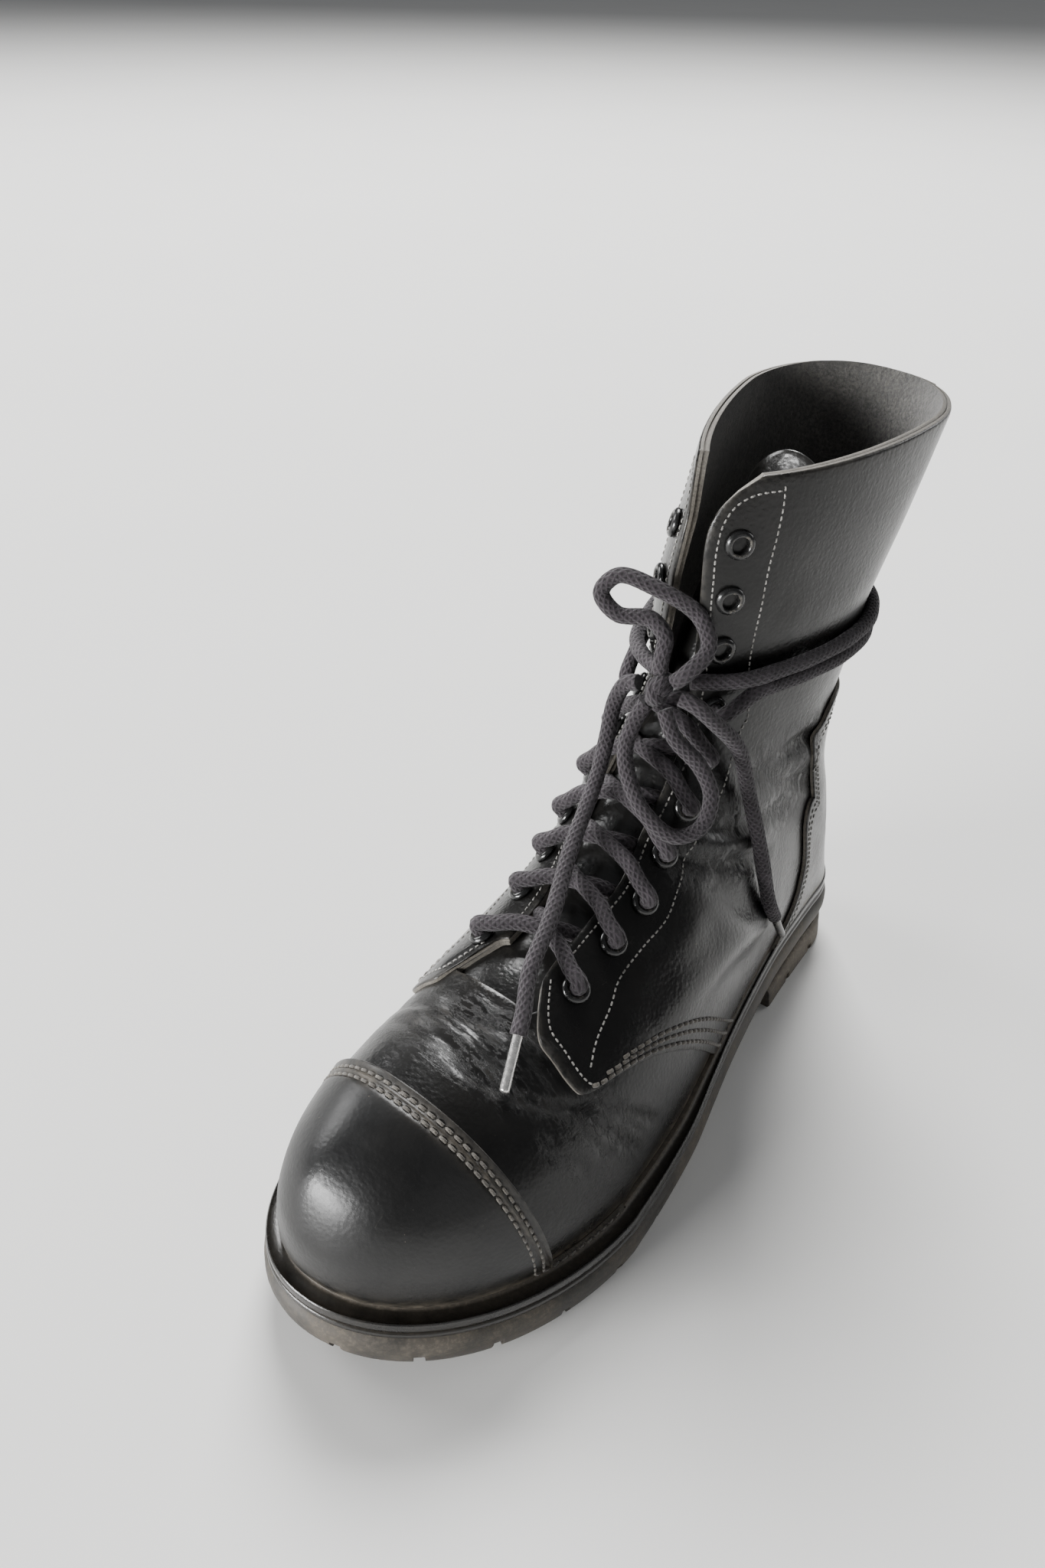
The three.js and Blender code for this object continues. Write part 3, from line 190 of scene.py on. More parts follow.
@dataclass
class FootForm:
    """Outer form of the boot, read by station from the toe up and by share around."""

    last_length: float = 287 * MM
    heel_reach: float = 28.5 * MM
    ball_width: float = 100 * MM
    heel_width: float = 60 * MM
    ankle_width: float = 57 * MM
    collar_width: float = 72 * MM
    toe_height: float = 68 * MM
    instep_height: float = 136 * MM
    shaft_height: float = 238 * MM
    toe_spring: float = 8.8 * MM
    heel_rise: float = 12.8 * MM
    sole_thickness: float = 22.4 * MM
    welt_width: float = 6.6 * MM
    heel_station: float = 0.74
    rows: int = 901
    columns: int = 241
    net: np.ndarray = field(init=False, repr=False)
    top: float = field(init=False)

    def __post_init__(self) -> None:
        """Works out the net of points that every lookup reads."""
        stations = np.linspace(0, 1, self.rows)
        table = self._metres()
        net = np.empty((self.rows, 2 * self.columns - 1, 3))
        for i, station in enumerate(stations):
            lateral = self._half_section(table, station, Side.LATERAL)
            medial = self._half_section(table, station, Side.MEDIAL)
            net[i, :self.columns] = medial[::-1]
            net[i, self.columns - 1:] = lateral
        step = net[-1] - net[-10]
        extra = np.array([net[-1] + step * (k / 9) for k in range(1, 37)])
        self.net = np.concatenate([net, extra])
        self.top = 1 + 36 / (self.rows - 1)

    def along_to_y(self, along: np.ndarray | float) -> np.ndarray:
        """Y of a share of the last's length, from the heel."""
        return self.heel_reach - along * self.last_length

    def y_to_along(self, y: np.ndarray | float) -> np.ndarray:
        """Share of the last's length at y."""
        return (self.heel_reach - y) / self.last_length

    def spring(self, y: np.ndarray | float) -> np.ndarray:
        """How far the toe springs off the floor at y."""
        return self.toe_spring * (np.maximum(0, self.y_to_along(y) - 0.622) / 0.378) ** 2

    def feather_height(self, y: np.ndarray | float) -> np.ndarray:
        """Height of the line where upper meets welt."""
        rise = smooth_step((0.657 - self.y_to_along(y)) / 0.575)
        return self.sole_thickness + self.heel_rise * rise + self.spring(y)

    def sole_bottom(self, y: np.ndarray | float) -> np.ndarray:
        """Height of the outsole's tread."""
        rise = smooth_step((0.535 - self.y_to_along(y)) / 0.453)
        return self.heel_rise * rise + self.spring(y)

    def feather_width(self, y: np.ndarray | float, side: Side) -> np.ndarray:
        """Half width of the feather line at y."""
        along = self.y_to_along(y)
        turn = np.clip(1 - along / 0.099, 0, 1)
        closing = (1 - turn ** 2.2) ** (1 / 2.2)
        column = 1 if side is Side.LATERAL else 2
        at = np.maximum(along, 0.099)
        return smooth_curve(FEATHER_ROWS, column, at) * self.ball_width * closing

    def welt_out(self, y: np.ndarray | float) -> np.ndarray:
        """How far the welt stands out from the feather line at y."""
        return self.welt_width * smooth_curve(WELT_ROWS, 1, self.y_to_along(y))

    def _metres(self) -> np.ndarray:
        """The station table in metres: ridge and seat as y and z."""
        rows = STATION_ROWS.copy()
        station = STATION_ROWS[:, 0]
        rows[:, 1] = self.along_to_y(STATION_ROWS[:, 1])
        rows[:, 3] = self.along_to_y(STATION_ROWS[:, 3])
        toe = station < 0.34
        foot = station < 0.76
        ridge = STATION_ROWS[:, 2]
        above = self.instep_height + ridge * (self.shaft_height - self.instep_height)
        rows[:, 2] = np.select([toe, station < 0.52],
                               [self.sole_thickness + ridge * self.toe_height,
                                ridge * self.instep_height], above)
        flat = self.feather_height(rows[:, 3]) - self.spring(rows[:, 3])
        rows[:, 4] = np.where(foot, flat, STATION_ROWS[:, 4] * self.shaft_height)
        width = np.select([station < 0.52, foot, station < 0.92],
                          [self.ball_width, self.heel_width, self.ankle_width],
                          self.collar_width)
        for column in (5, 6, 7):
            rows[:, column] = STATION_ROWS[:, column] * width
        return rows

    def _half_section(self, table: np.ndarray, station: float, side: Side) -> np.ndarray:
        """Evenly spaced points of one side of a section, from ridge to seat.

        Args:
            table: Station rows in metres.
            station: Where the section is cut.
            side: Which half.

        Returns:
            Points, one row each.
        """
        (ridge_y, ridge_z, seat_y, seat_z, shift, lateral, medial, widest, crown_l, crown_m,
         tuck) = (float(smooth_curve(table, k, station)) for k in range(1, 12))
        if station <= self.heel_station:
            seat_z = float(self.feather_height(seat_y) - self.spring(seat_y))
        foot = float(self.feather_width(seat_y, side)) if station < self.heel_station else 0.0
        width = max(lateral if side is Side.LATERAL else medial, foot + 0.2 * MM)
        crown = 2 / (crown_l if side is Side.LATERAL else crown_m)
        widest = max(widest, 0.001)
        sign = side.value
        angle = np.linspace(0, math.pi / 2, 181)
        x_over = shift + (sign * width - shift) * np.sin(angle) ** crown
        t_over = widest + (1 - widest) * np.clip(np.cos(angle), 0, 1) ** crown
        closed = max((1 - (foot / width) ** tuck) ** (1 / tuck), 0.001)
        under = np.linspace(0, math.asin(min(1, closed ** (tuck / 2))), 181)[1:]
        x_under = sign * width * np.clip(np.cos(under), 0, 1) ** (2 / tuck)
        x_under[-1] = sign * foot
        t_under = widest * (1 - np.sin(under) ** (2 / tuck) / closed)
        x = np.concatenate([x_over, x_under])
        t = np.concatenate([t_over, t_under])
        y = seat_y + (ridge_y - seat_y) * t
        z = seat_z + (ridge_z - seat_z) * t + self.spring(y)
        points = np.stack([x, y, z], axis=1)
        lengths = lengths_along(points)
        return read_line(np.linspace(0, lengths[-1], self.columns), lengths, points)

    def point(self, station: np.ndarray | float, around: np.ndarray | float) -> np.ndarray:
        """Points of the outer form.

        Args:
            station: From 0 at the toe's feather to 1 at the collar, and a little more.
            around: From -1 at the medial seat over the ridge to 1 at the lateral seat.

        Returns:
            Points in metres, one for each pair.
        """
        s, v = np.broadcast_arrays(np.asarray(station, float), np.asarray(around, float))
        past = (np.abs(v) > 1) & (s > self.heel_station)
        v = np.where(past, v - 2 * np.sign(v), np.clip(v, -1, 1))
        row = np.clip(s, 0, self.top) * (self.rows - 1)
        column = (v + 1) * (self.columns - 1)
        i = np.clip(row.astype(int), 0, len(self.net) - 2)
        j = np.clip(column.astype(int), 0, self.net.shape[1] - 2)
        a = (row - i)[..., None]
        b = (column - j)[..., None]
        return ((1 - a) * ((1 - b) * self.net[i, j] + b * self.net[i, j + 1])
                + a * ((1 - b) * self.net[i + 1, j] + b * self.net[i + 1, j + 1]))

    def normal(self, station: np.ndarray | float, around: np.ndarray | float) -> np.ndarray:
        """Outward directions of the form, one for each pair of station and around."""
        s, v = np.broadcast_arrays(np.asarray(station, float), np.asarray(around, float))
        rise = self.point(s + 0.004, v) - self.point(np.maximum(s - 0.004, 0), v)
        turn = self.point(s, v + 0.02) - self.point(s, v - 0.02)
        normal = -np.cross(rise, turn)
        edge = np.abs(v) >= 1
        normal[..., 2] = np.where((s == 0) | (edge & (s <= self.heel_station)), 0,
                                  normal[..., 2])
        normal[..., 0] = np.where(edge & (s >= self.heel_station), 0, normal[..., 0])
        return unit(normal)

    def offset(self, station: np.ndarray | float, around: np.ndarray | float,
               depth: np.ndarray | float) -> np.ndarray:
        """Points moved out from the form by a depth in metres."""
        deep = np.asarray(depth, float)
        return self.point(station, around) + self.normal(station, around) * deep[..., None]

    def girth(self, station: float, side: Side) -> float:
        """Length of one half of a section."""
        line = self.point(station, side.value * np.linspace(0, 1, 200))
        return float(np.linalg.norm(np.diff(line, axis=0), axis=1).sum())

    def station_at(self, axis: Callable[[np.ndarray], np.ndarray], around: np.ndarray,
                   low: float, high: float) -> np.ndarray:
        """Stations where a rising measure of the point passes zero.

        Args:
            axis: Gives the measure of points, rising with the station.
            around: Shares around, one per answer.
            low: First station to try.
            high: Last station to try.

        Returns:
            One station per share around.
        """
        below = np.full(np.shape(around), low)
        above = np.full(np.shape(around), high)
        for _ in range(26):
            middle = (below + above) / 2
            under = axis(self.point(middle, around)) < 0
            below = np.where(under, middle, below)
            above = np.where(under, above, middle)
        return below

    def locate(self, target: np.ndarray, axes: tuple[int, int], start: tuple[float, float],
               side_clip: tuple[float, float]) -> np.ndarray:
        """Station and share around of a place seen along one axis.

        Args:
            target: The two coordinates that are known.
            axes: Which two they are.
            start: Station and share to search from.
            side_clip: Lowest and highest share around.

        Returns:
            Station and share.
        """
        guess = np.array(start, float)
        for _ in range(30):
            here = self.point(*guess)[list(axes)]
            step = 2e-3
            by_s = (self.point(guess[0] + step, guess[1])[list(axes)] - here) / step
            by_v = (self.point(guess[0], guess[1] + step)[list(axes)] - here) / step
            jacobian = np.stack([by_s, by_v], axis=1)
            change = np.linalg.lstsq(jacobian, target - here, rcond=None)[0]
            guess = guess + np.clip(change, -0.05, 0.05)
            guess[0] = min(max(guess[0], 0.0), self.top - 0.005)
            guess[1] = min(max(guess[1], side_clip[0]), side_clip[1])
        return guess


class Layer:
    """Depths of the leather layers from the form, in metres."""

    QUARTER = 0.3 * MM
    VAMP = -1.4 * MM
    LINING = -3.2 * MM
    LINING_FACE = -1.5 * MM
    CAP_IN = -1.1 * MM
    CAP_OUT = 0.7 * MM
    OVERLAY_IN = 0.6 * MM
    OVERLAY_OUT = 2.2 * MM
    TONGUE_OUT = -4.0 * MM
    TONGUE_IN = -6.4 * MM


@dataclass(frozen=True)
class Crease:
    """Soft trough or ridge in the leather, along places given on the form."""

    places: tuple[tuple[float, float], ...]
    depth: float
    width: float


CREASES = (
    Crease(((.268, -.34), (.275, -.20), (.281, -.02), (.275, .10), (.272, .19), (.262, .27)),
           -1.0 * MM, 2.8 * MM),
    Crease(((.284, -.30), (.288, -.10), (.288, .05), (.283, .16)), 0.7 * MM, 3.0 * MM),
    Crease(((.278, -.42), (.294, -.20), (.296, -.01), (.293, .09), (.286, .18), (.272, .30)),
           -1.2 * MM, 2.6 * MM),
    Crease(((.308, -.10), (.306, .07), (.312, .17), (.306, .26), (.300, .34)),
           -0.8 * MM, 2.2 * MM),
    Crease(((.267, .02), (.268, .14), (.269, .22), (.275, .32), (.286, .41), (.296, .47)),
           -0.7 * MM, 2.0 * MM),
    Crease(((.300, .40), (.312, .50), (.319, .59), (.338, .72), (.350, .82)),
           -0.8 * MM, 1.9 * MM),
    Crease(((.290, .36), (.294, .47), (.294, .59), (.300, .74), (.296, .88)),
           -0.9 * MM, 2.0 * MM),
    Crease(((.256, .37), (.250, .46), (.244, .59), (.228, .68)), -0.45 * MM, 2.2 * MM),
    Crease(((.283, .44), (.276, .58), (.270, .70)), -0.55 * MM, 1.7 * MM),
    Crease(((.306, .48), (.312, .62), (.324, .76)), -0.5 * MM, 1.5 * MM),
    Crease(((.300, -.42), (.306, -.55), (.322, -.70), (.330, -.82)), -0.9 * MM, 2.2 * MM),
    Crease(((.284, -.44), (.282, -.58), (.290, -.74)), -0.8 * MM, 2.2 * MM),
    Crease(((.262, -.38), (.256, -.52), (.250, -.64)), -0.5 * MM, 2.0 * MM),
    Crease(((.495, .15), (.506, .19), (.519, .24), (.544, .34), (.581, .45), (.602, .51)),
           -1.6 * MM, 3.2 * MM),
    Crease(((.520, .14), (.540, .25), (.575, .36), (.612, .44)), 1.2 * MM, 5.0 * MM),
    Crease(((.515, .30), (.530, .40), (.544, .56), (.569, .76)), -1.3 * MM, 5.0 * MM),
    Crease(((.385, .44), (.438, .50), (.500, .575), (.560, .70), (.600, .82)),
           1.5 * MM, 9.0 * MM),
    Crease(((.460, .62), (.520, .72), (.560, .86)), -0.9 * MM, 7.0 * MM),
    Crease(((.725, .30), (.763, .375), (.794, .46), (.812, .53), (.822, .62)),
           -1.5 * MM, 3.4 * MM),
    Crease(((.700, .30), (.735, .38), (.775, .47), (.790, .56)), 1.2 * MM, 4.0 * MM),
    Crease(((.640, .24), (.672, .30), (.712, .38), (.745, .46), (.752, .54)),
           -1.2 * MM, 3.8 * MM),
    Crease(((.537, .17), (.562, .26), (.606, .37), (.663, .45), (.690, .53)),
           -1.0 * MM, 3.6 * MM),
    Crease(((.400, .26), (.430, .33), (.470, .38), (.505, .36)), 0.8 * MM, 7.0 * MM),
    Crease(((.860, .30), (.885, .50), (.870, .70)), -0.8 * MM, 8.0 * MM),
    Crease(((.905, .22), (.925, .42), (.945, .62)), 0.7 * MM, 9.0 * MM),
    Crease(((.505, -.22), (.530, -.32), (.565, -.44), (.600, -.54)), -1.5 * MM, 3.6 * MM),
    Crease(((.540, -.24), (.580, -.36), (.620, -.46)), 1.0 * MM, 5.0 * MM),
    Crease(((.400, -.48), (.450, -.56), (.520, -.68), (.580, -.80)), 1.3 * MM, 9.0 * MM),
    Crease(((.655, -.26), (.705, -.36), (.750, -.48), (.765, -.58)), -1.4 * MM, 3.8 * MM),
    Crease(((.730, -.30), (.775, -.42), (.805, -.54)), -1.2 * MM, 3.6 * MM),
    Crease(((.590, -.22), (.630, -.34), (.670, -.46)), -0.8 * MM, 4.0 * MM),
    Crease(((.850, -.34), (.880, -.52), (.875, -.70)), -0.8 * MM, 8.0 * MM),
    Crease(((.330, -.62), (.360, -.70), (.390, -.82)), -0.6 * MM, 5.0 * MM),
)


@dataclass
class Relief:
    """Depth of all creases at places on the boot."""

    form: FootForm
    creases: Sequence[Crease] = CREASES

    def _distance(self, points: np.ndarray, crease: Crease) -> tuple[np.ndarray, np.ndarray]:
        """Distance of points from a crease's line, and how far along it they lie.

        Args:
            points: Points on the form, any grid of them.
            crease: The crease.

        Returns:
            Distances, and shares of the line's length.
        """
        places = np.array(crease.places)
        knots = np.linspace(0, len(places) - 1, 6 * (len(places) - 1) + 1)
        rows = np.column_stack([np.arange(len(places)), places])
        line = self.form.point(smooth_curve(rows, 1, knots), smooth_curve(rows, 2, knots))
        nearest = np.full(points.shape[:-1], 1.0)
        share = np.zeros(points.shape[:-1])
        for k in range(len(line) - 1):
            span = line[k + 1] - line[k]
            t = np.clip(((points - line[k]) @ span) / (span @ span), 0, 1)
            away = np.linalg.norm(points - (line[k] + t[..., None] * span), axis=-1)
            closer = away < nearest
            nearest = np.where(closer, away, nearest)
            share = np.where(closer, (k + t) / (len(line) - 1), share)
        return nearest, share

    def depth(self, points: np.ndarray) -> tuple[np.ndarray, np.ndarray]:
        """Relief of the leather and how creased it is.

        Args:
            points: Points on the form.

        Returns:
            Heights in metres, and a measure of creasing from 0 to 1.
        """
        height = np.zeros(points.shape[:-1])
        creased = np.zeros(points.shape[:-1])
        low = points.reshape(-1, 3).min(axis=0) - 0.03
        high = points.reshape(-1, 3).max(axis=0) + 0.03
        for crease in self.creases:
            middle = self.form.point(*crease.places[len(crease.places) // 2])
            if np.any(middle < low) or np.any(middle > high):
                continue
            away, share = self._distance(points, crease)
            fade = np.clip(np.sin(math.pi * np.clip(share, 0.04, 0.96)) * 1.6, 0, 1)
            middle = bell(away, 0, crease.width) * fade
            rim = bell(away, 1.9 * crease.width, crease.width) * fade
            height += crease.depth * (middle - 0.22 * rim)
            if crease.width < 4.5 * MM:
                near = bell(away, 0, 2.2 * crease.width) * fade
                creased = np.maximum(creased, near * min(1.0, abs(crease.depth) / MM))
        return height, creased


# Materials

class NodeBench:
    """A material's node tree with short calls to lay its nodes."""

    def __init__(self, name: str) -> None:
        """Starts an empty tree with one surface shader.

        Args:
            name: Name of the material.
        """
        self.material = bpy.data.materials.new(name)
        self.material.use_nodes = True
        self.tree = self.material.node_tree
        self.tree.nodes.clear()
        self.shader = self.tree.nodes.new("ShaderNodeBsdfPrincipled")
        output = self.tree.nodes.new("ShaderNodeOutputMaterial")
        self.tree.links.new(self.shader.outputs["BSDF"], output.inputs["Surface"])
        self.place = self.tree.nodes.new("ShaderNodeTexCoord").outputs["Object"]

    def set(self, **values: float | Rgb) -> None:
        """Sets the shader's own sockets, with underscores for spaces."""
        for name, value in values.items():
            self._feed(self.shader.inputs[name.replace("_", " ")], value)

    def link(self, source: bpy.types.NodeSocket, name: str) -> None:
        """Links a node's output to one of the shader's sockets."""
        self.tree.links.new(source, self.shader.inputs[name])

    def _feed(self, socket: bpy.types.NodeSocket, value: object) -> None:
        """Gives a socket a link, a plain value, or a colour that lacks its alpha."""
        if isinstance(value, bpy.types.NodeSocket):
            self.tree.links.new(value, socket)
        elif isinstance(value, tuple):
            socket.default_value = (*value, 1.0)[:len(socket.default_value)]
        else:
            socket.default_value = value

    def _read(self, node: bpy.types.Node, output: str | int,
              inputs: dict[str | int, object]) -> bpy.types.NodeSocket:
        """Feeds a node's inputs and gives one of its outputs."""
        for key, value in inputs.items():
            self._feed(node.inputs[key], value)
        return node.outputs[output]

    def attribute(self, name: str) -> bpy.types.NodeSocket:
        """A value stored on the mesh."""
        node = self.tree.nodes.new("ShaderNodeAttribute")
        node.attribute_name = name
        return node.outputs["Fac"]

    def stretched(self, scale: tuple[float, float, float],
                  turn: tuple[float, float, float] = (0, 0, 0)) -> bpy.types.NodeSocket:
        """Object coordinates, turned and scaled."""
        node = self.tree.nodes.new("ShaderNodeMapping")
        return self._read(node, "Vector", {"Vector": self.place, "Rotation": turn,
                                           "Scale": scale})

    def noise(self, scale: float, detail: float = 3.0, roughness: float = 0.5,
              vector: bpy.types.NodeSocket | None = None,
              distortion: float = 0.0) -> bpy.types.NodeSocket:
        """Cloudy noise from 0 to 1."""
        node = self.tree.nodes.new("ShaderNodeTexNoise")
        return self._read(node, "Fac", {"Vector": vector or self.place, "Scale": scale,
                                        "Detail": detail, "Roughness": roughness,
                                        "Distortion": distortion})

    def cells(self, scale: float, feature: str = "F1") -> bpy.types.NodeSocket:
        """Distance within a pattern of cells."""
        node = self.tree.nodes.new("ShaderNodeTexVoronoi")
        node.feature = feature
        return self._read(node, "Distance", {"Vector": self.place, "Scale": scale})

    def math(self, operation: str, a: object, b: object = 0.0) -> bpy.types.NodeSocket:
        """One sum on two values."""
        node = self.tree.nodes.new("ShaderNodeMath")
        node.operation = operation
        return self._read(node, 0, {0: a, 1: b})

    def spread(self, value: object, low: float, high: float, to_low: float = 0.0,
               to_high: float = 1.0) -> bpy.types.NodeSocket:
        """Maps a range of values softly to another range, held at its ends."""
        node = self.tree.nodes.new("ShaderNodeMapRange")
        node.interpolation_type = "SMOOTHSTEP"
        return self._read(node, "Result", {"Value": value, "From Min": low, "From Max": high,
                                           "To Min": to_low, "To Max": to_high})

    def blend(self, factor: object, a: object, b: object) -> bpy.types.NodeSocket:
        """Colour between a and b."""
        node = self.tree.nodes.new("ShaderNodeMix")
        node.data_type = "RGBA"
        return self._read(node, 2, {0: factor, 6: a, 7: b})

    def bump(self, height: bpy.types.NodeSocket, depth: float,
             under: bpy.types.NodeSocket | None = None) -> bpy.types.NodeSocket:
        """Bumped normal from a height, with its depth in metres."""
        node = self.tree.nodes.new("ShaderNodeBump")
        inputs = {"Strength": 1.0, "Distance": depth, "Height": height}
        if under is not None:
            inputs["Normal"] = under
        return self._read(node, "Normal", inputs)


@dataclass(frozen=True)
class LeatherFinish:
    """Smooth black leather with grain, creases, dust and scuffs."""

    name: str
    base: Rgb = (0.0036, 0.0035, 0.0034)
    faded: Rgb = (0.0090, 0.0086, 0.0080)
    cracked: Rgb = (0.058, 0.053, 0.046)
    dust: Rgb = (0.215, 0.185, 0.142)
    roughness: float = 0.28
    rough_spread: float = 0.14
    specular: float = 0.24
    coat: float = 0.12
    coat_roughness: float = 0.24
    grain: float = 0.00010

    def build(self) -> bpy.types.Material:
        """Lays the nodes.

        Returns:
            The finished material.
        """
        bench = NodeBench(self.name)
        cloud = bench.spread(bench.noise(22, 5, 0.6), 0.35, 0.7)
        colour = bench.blend(cloud, self.base, self.faded)
        streaks = bench.noise(110, 6, 0.68, bench.stretched((1.0, 3.4, 1.6), (0.4, 0.2, 0.5)))
        cracks = bench.math("MULTIPLY", bench.spread(streaks, 0.50, 0.66),
                            bench.spread(bench.attribute("creased"), 0.25, 0.95))
        colour = bench.blend(bench.math("MULTIPLY", cracks, 0.22), colour, self.cracked)
        hairs = bench.noise(60, 7, 0.75, bench.stretched((7.0, 1.0, 2.2), (0.9, 0.3, 0.7)), 0.6)
        scuff = bench.math("MULTIPLY", bench.spread(hairs, 0.64, 0.70),
                           bench.spread(bench.noise(14, 2), 0.50, 0.66))
        colour = bench.blend(bench.math("MULTIPLY", scuff, 0.45), colour, self.cracked)
        specks = bench.spread(bench.cells(420), 0.10, 0.05)
        specks = bench.math("MULTIPLY", specks, bench.spread(bench.noise(70, 2), 0.62, 0.72))
        colour = bench.blend(bench.math("MULTIPLY", specks, 0.5), colour, self.dust)
        dusty = bench.math("MULTIPLY", bench.attribute("dusty"),
                           bench.spread(bench.noise(160, 6, 0.7), 0.30, 0.68))
        colour = bench.blend(dusty, colour, self.dust)
        rubbed = bench.math("MULTIPLY", bench.attribute("rubbed"),
                            bench.spread(bench.noise(300, 4, 0.6), 0.35, 0.62))
        colour = bench.blend(bench.math("MULTIPLY", rubbed, 0.7), colour, self.cracked)
        bench.link(colour, "Base Color")
        rough = bench.spread(bench.noise(35, 4, 0.6), 0.3, 0.7,
                             self.roughness - self.rough_spread / 2,
                             self.roughness + self.rough_spread / 2)
        rough = bench.math("ADD", rough, bench.math("MULTIPLY", dusty, 0.35))
        rough = bench.math("ADD", rough, bench.math("MULTIPLY", cracks, 0.12))
        bench.link(rough, "Roughness")
        bench.set(IOR=1.5, Specular_IOR_Level=self.specular, Coat_Weight=self.coat,
                  Coat_Roughness=self.coat_roughness)
        pebbles = bench.bump(bench.cells(760, "SMOOTH_F1"), self.grain)
        wrinkles = bench.noise(240, 6, 0.6, bench.stretched((1.0, 2.2, 1.3), (0.5, 0.2, 0.3)))
        fine = bench.bump(wrinkles, 1.6 * self.grain, under=pebbles)
        crack_bump = bench.math("MULTIPLY", bench.spread(streaks, 0.44, 0.60),
                                bench.attribute("creased"))
        bench.link(bench.bump(crack_bump, 4 * self.grain, under=fine), "Normal")
        return bench.material


@dataclass(frozen=True)
class RawLeatherFinish:
    """Cut edge or flesh side of leather: matt and fibrous."""

    name: str
    dark: Rgb
    light: Rgb
    fibre: float = 900.0
    depth: float = 0.00025
    worn: Rgb = (0.10, 0.088, 0.07)

    def build(self) -> bpy.types.Material:
        """Lays the nodes.

        Returns:
            The finished material.
        """
        bench = NodeBench(self.name)
        fibres = bench.noise(self.fibre, 6, 0.75)
        patches = bench.noise(55, 4, 0.6)
        colour = bench.blend(bench.spread(fibres, 0.3, 0.72), self.dark, self.light)
        flecks = bench.spread(bench.noise(1500, 3, 0.8), 0.62, 0.74)
        colour = bench.blend(bench.math("MULTIPLY", flecks, 0.5), colour, self.worn)
        shade = bench.math("MULTIPLY", bench.spread(patches, 0.4, 0.7), 0.5)
        colour = bench.blend(shade, colour, self.dark)
        bench.link(colour, "Base Color")
        bench.link(bench.spread(fibres, 0.2, 0.8, 0.82, 0.98), "Roughness")
        bench.set(Sheen_Weight=0.25, Sheen_Roughness=0.5)
        coarse = bench.bump(bench.noise(260, 5, 0.7), self.depth)
        bench.link(bench.bump(fibres, self.depth, under=coarse), "Normal")
        return bench.material


@dataclass(frozen=True)
class RubberFinish:
    """Moulded rubber with dust in its low places and rubbed edges."""

    name: str
    base: Rgb
    dust: Rgb
    dust_amount: float
    roughness: float
    coat: float = 0.0

    def build(self) -> bpy.types.Material:
        """Lays the nodes.

        Returns:
            The finished material.
        """
        bench = NodeBench(self.name)
        patches = bench.spread(bench.noise(45, 6, 0.65), 0.36, 0.66)
        grit = bench.spread(bench.noise(700, 4, 0.7), 0.40, 0.70)
        layer = bench.math("MULTIPLY", patches, self.dust_amount)
        layer = bench.math("ADD", layer, bench.math("MULTIPLY", grit, 0.25 * self.dust_amount))
        layer = bench.math("MAXIMUM", layer, bench.attribute("dusty"))
        layer = bench.math("MULTIPLY", layer, bench.spread(grit, 0.0, 1.0, 0.6, 1.0))
        bench.link(bench.blend(layer, self.base, self.dust), "Base Color")
        rough = bench.math("ADD", self.roughness, bench.math("MULTIPLY", layer, 0.4))
        bench.link(rough, "Roughness")
        bench.set(Coat_Weight=self.coat, Coat_Roughness=0.15, Specular_IOR_Level=0.45)
        scratches = bench.noise(120, 5, 0.7, bench.stretched((1.0, 1.0, 6.0)))
        rough_bump = bench.bump(scratches, 0.00012)
        bench.link(bench.bump(bench.noise(900, 4, 0.6), 0.00008, under=rough_bump), "Normal")
        return bench.material


@dataclass(frozen=True)
class ThreadFinish:
    """Twisted sewing thread."""

    name: str
    base: Rgb
    light: Rgb

    def build(self) -> bpy.types.Material:
        """Lays the nodes.

        Returns:
            The finished material.
        """
        bench = NodeBench(self.name)
        fibre = bench.noise(2200, 4, 0.6)
        colour = bench.blend(bench.spread(fibre, 0.35, 0.65), self.base, self.light)
        shade = bench.spread(bench.noise(80, 3), 0.45, 0.65)
        colour = bench.blend(bench.math("MULTIPLY", shade, 0.6), colour, self.base)
        bench.link(colour, "Base Color")
        bench.link(bench.spread(fibre, 0.3, 0.7, 0.6, 0.85), "Roughness")
        bench.set(Sheen_Weight=0.2)
        bench.link(bench.bump(bench.noise(1400, 3), 0.0002), "Normal")
        return bench.material


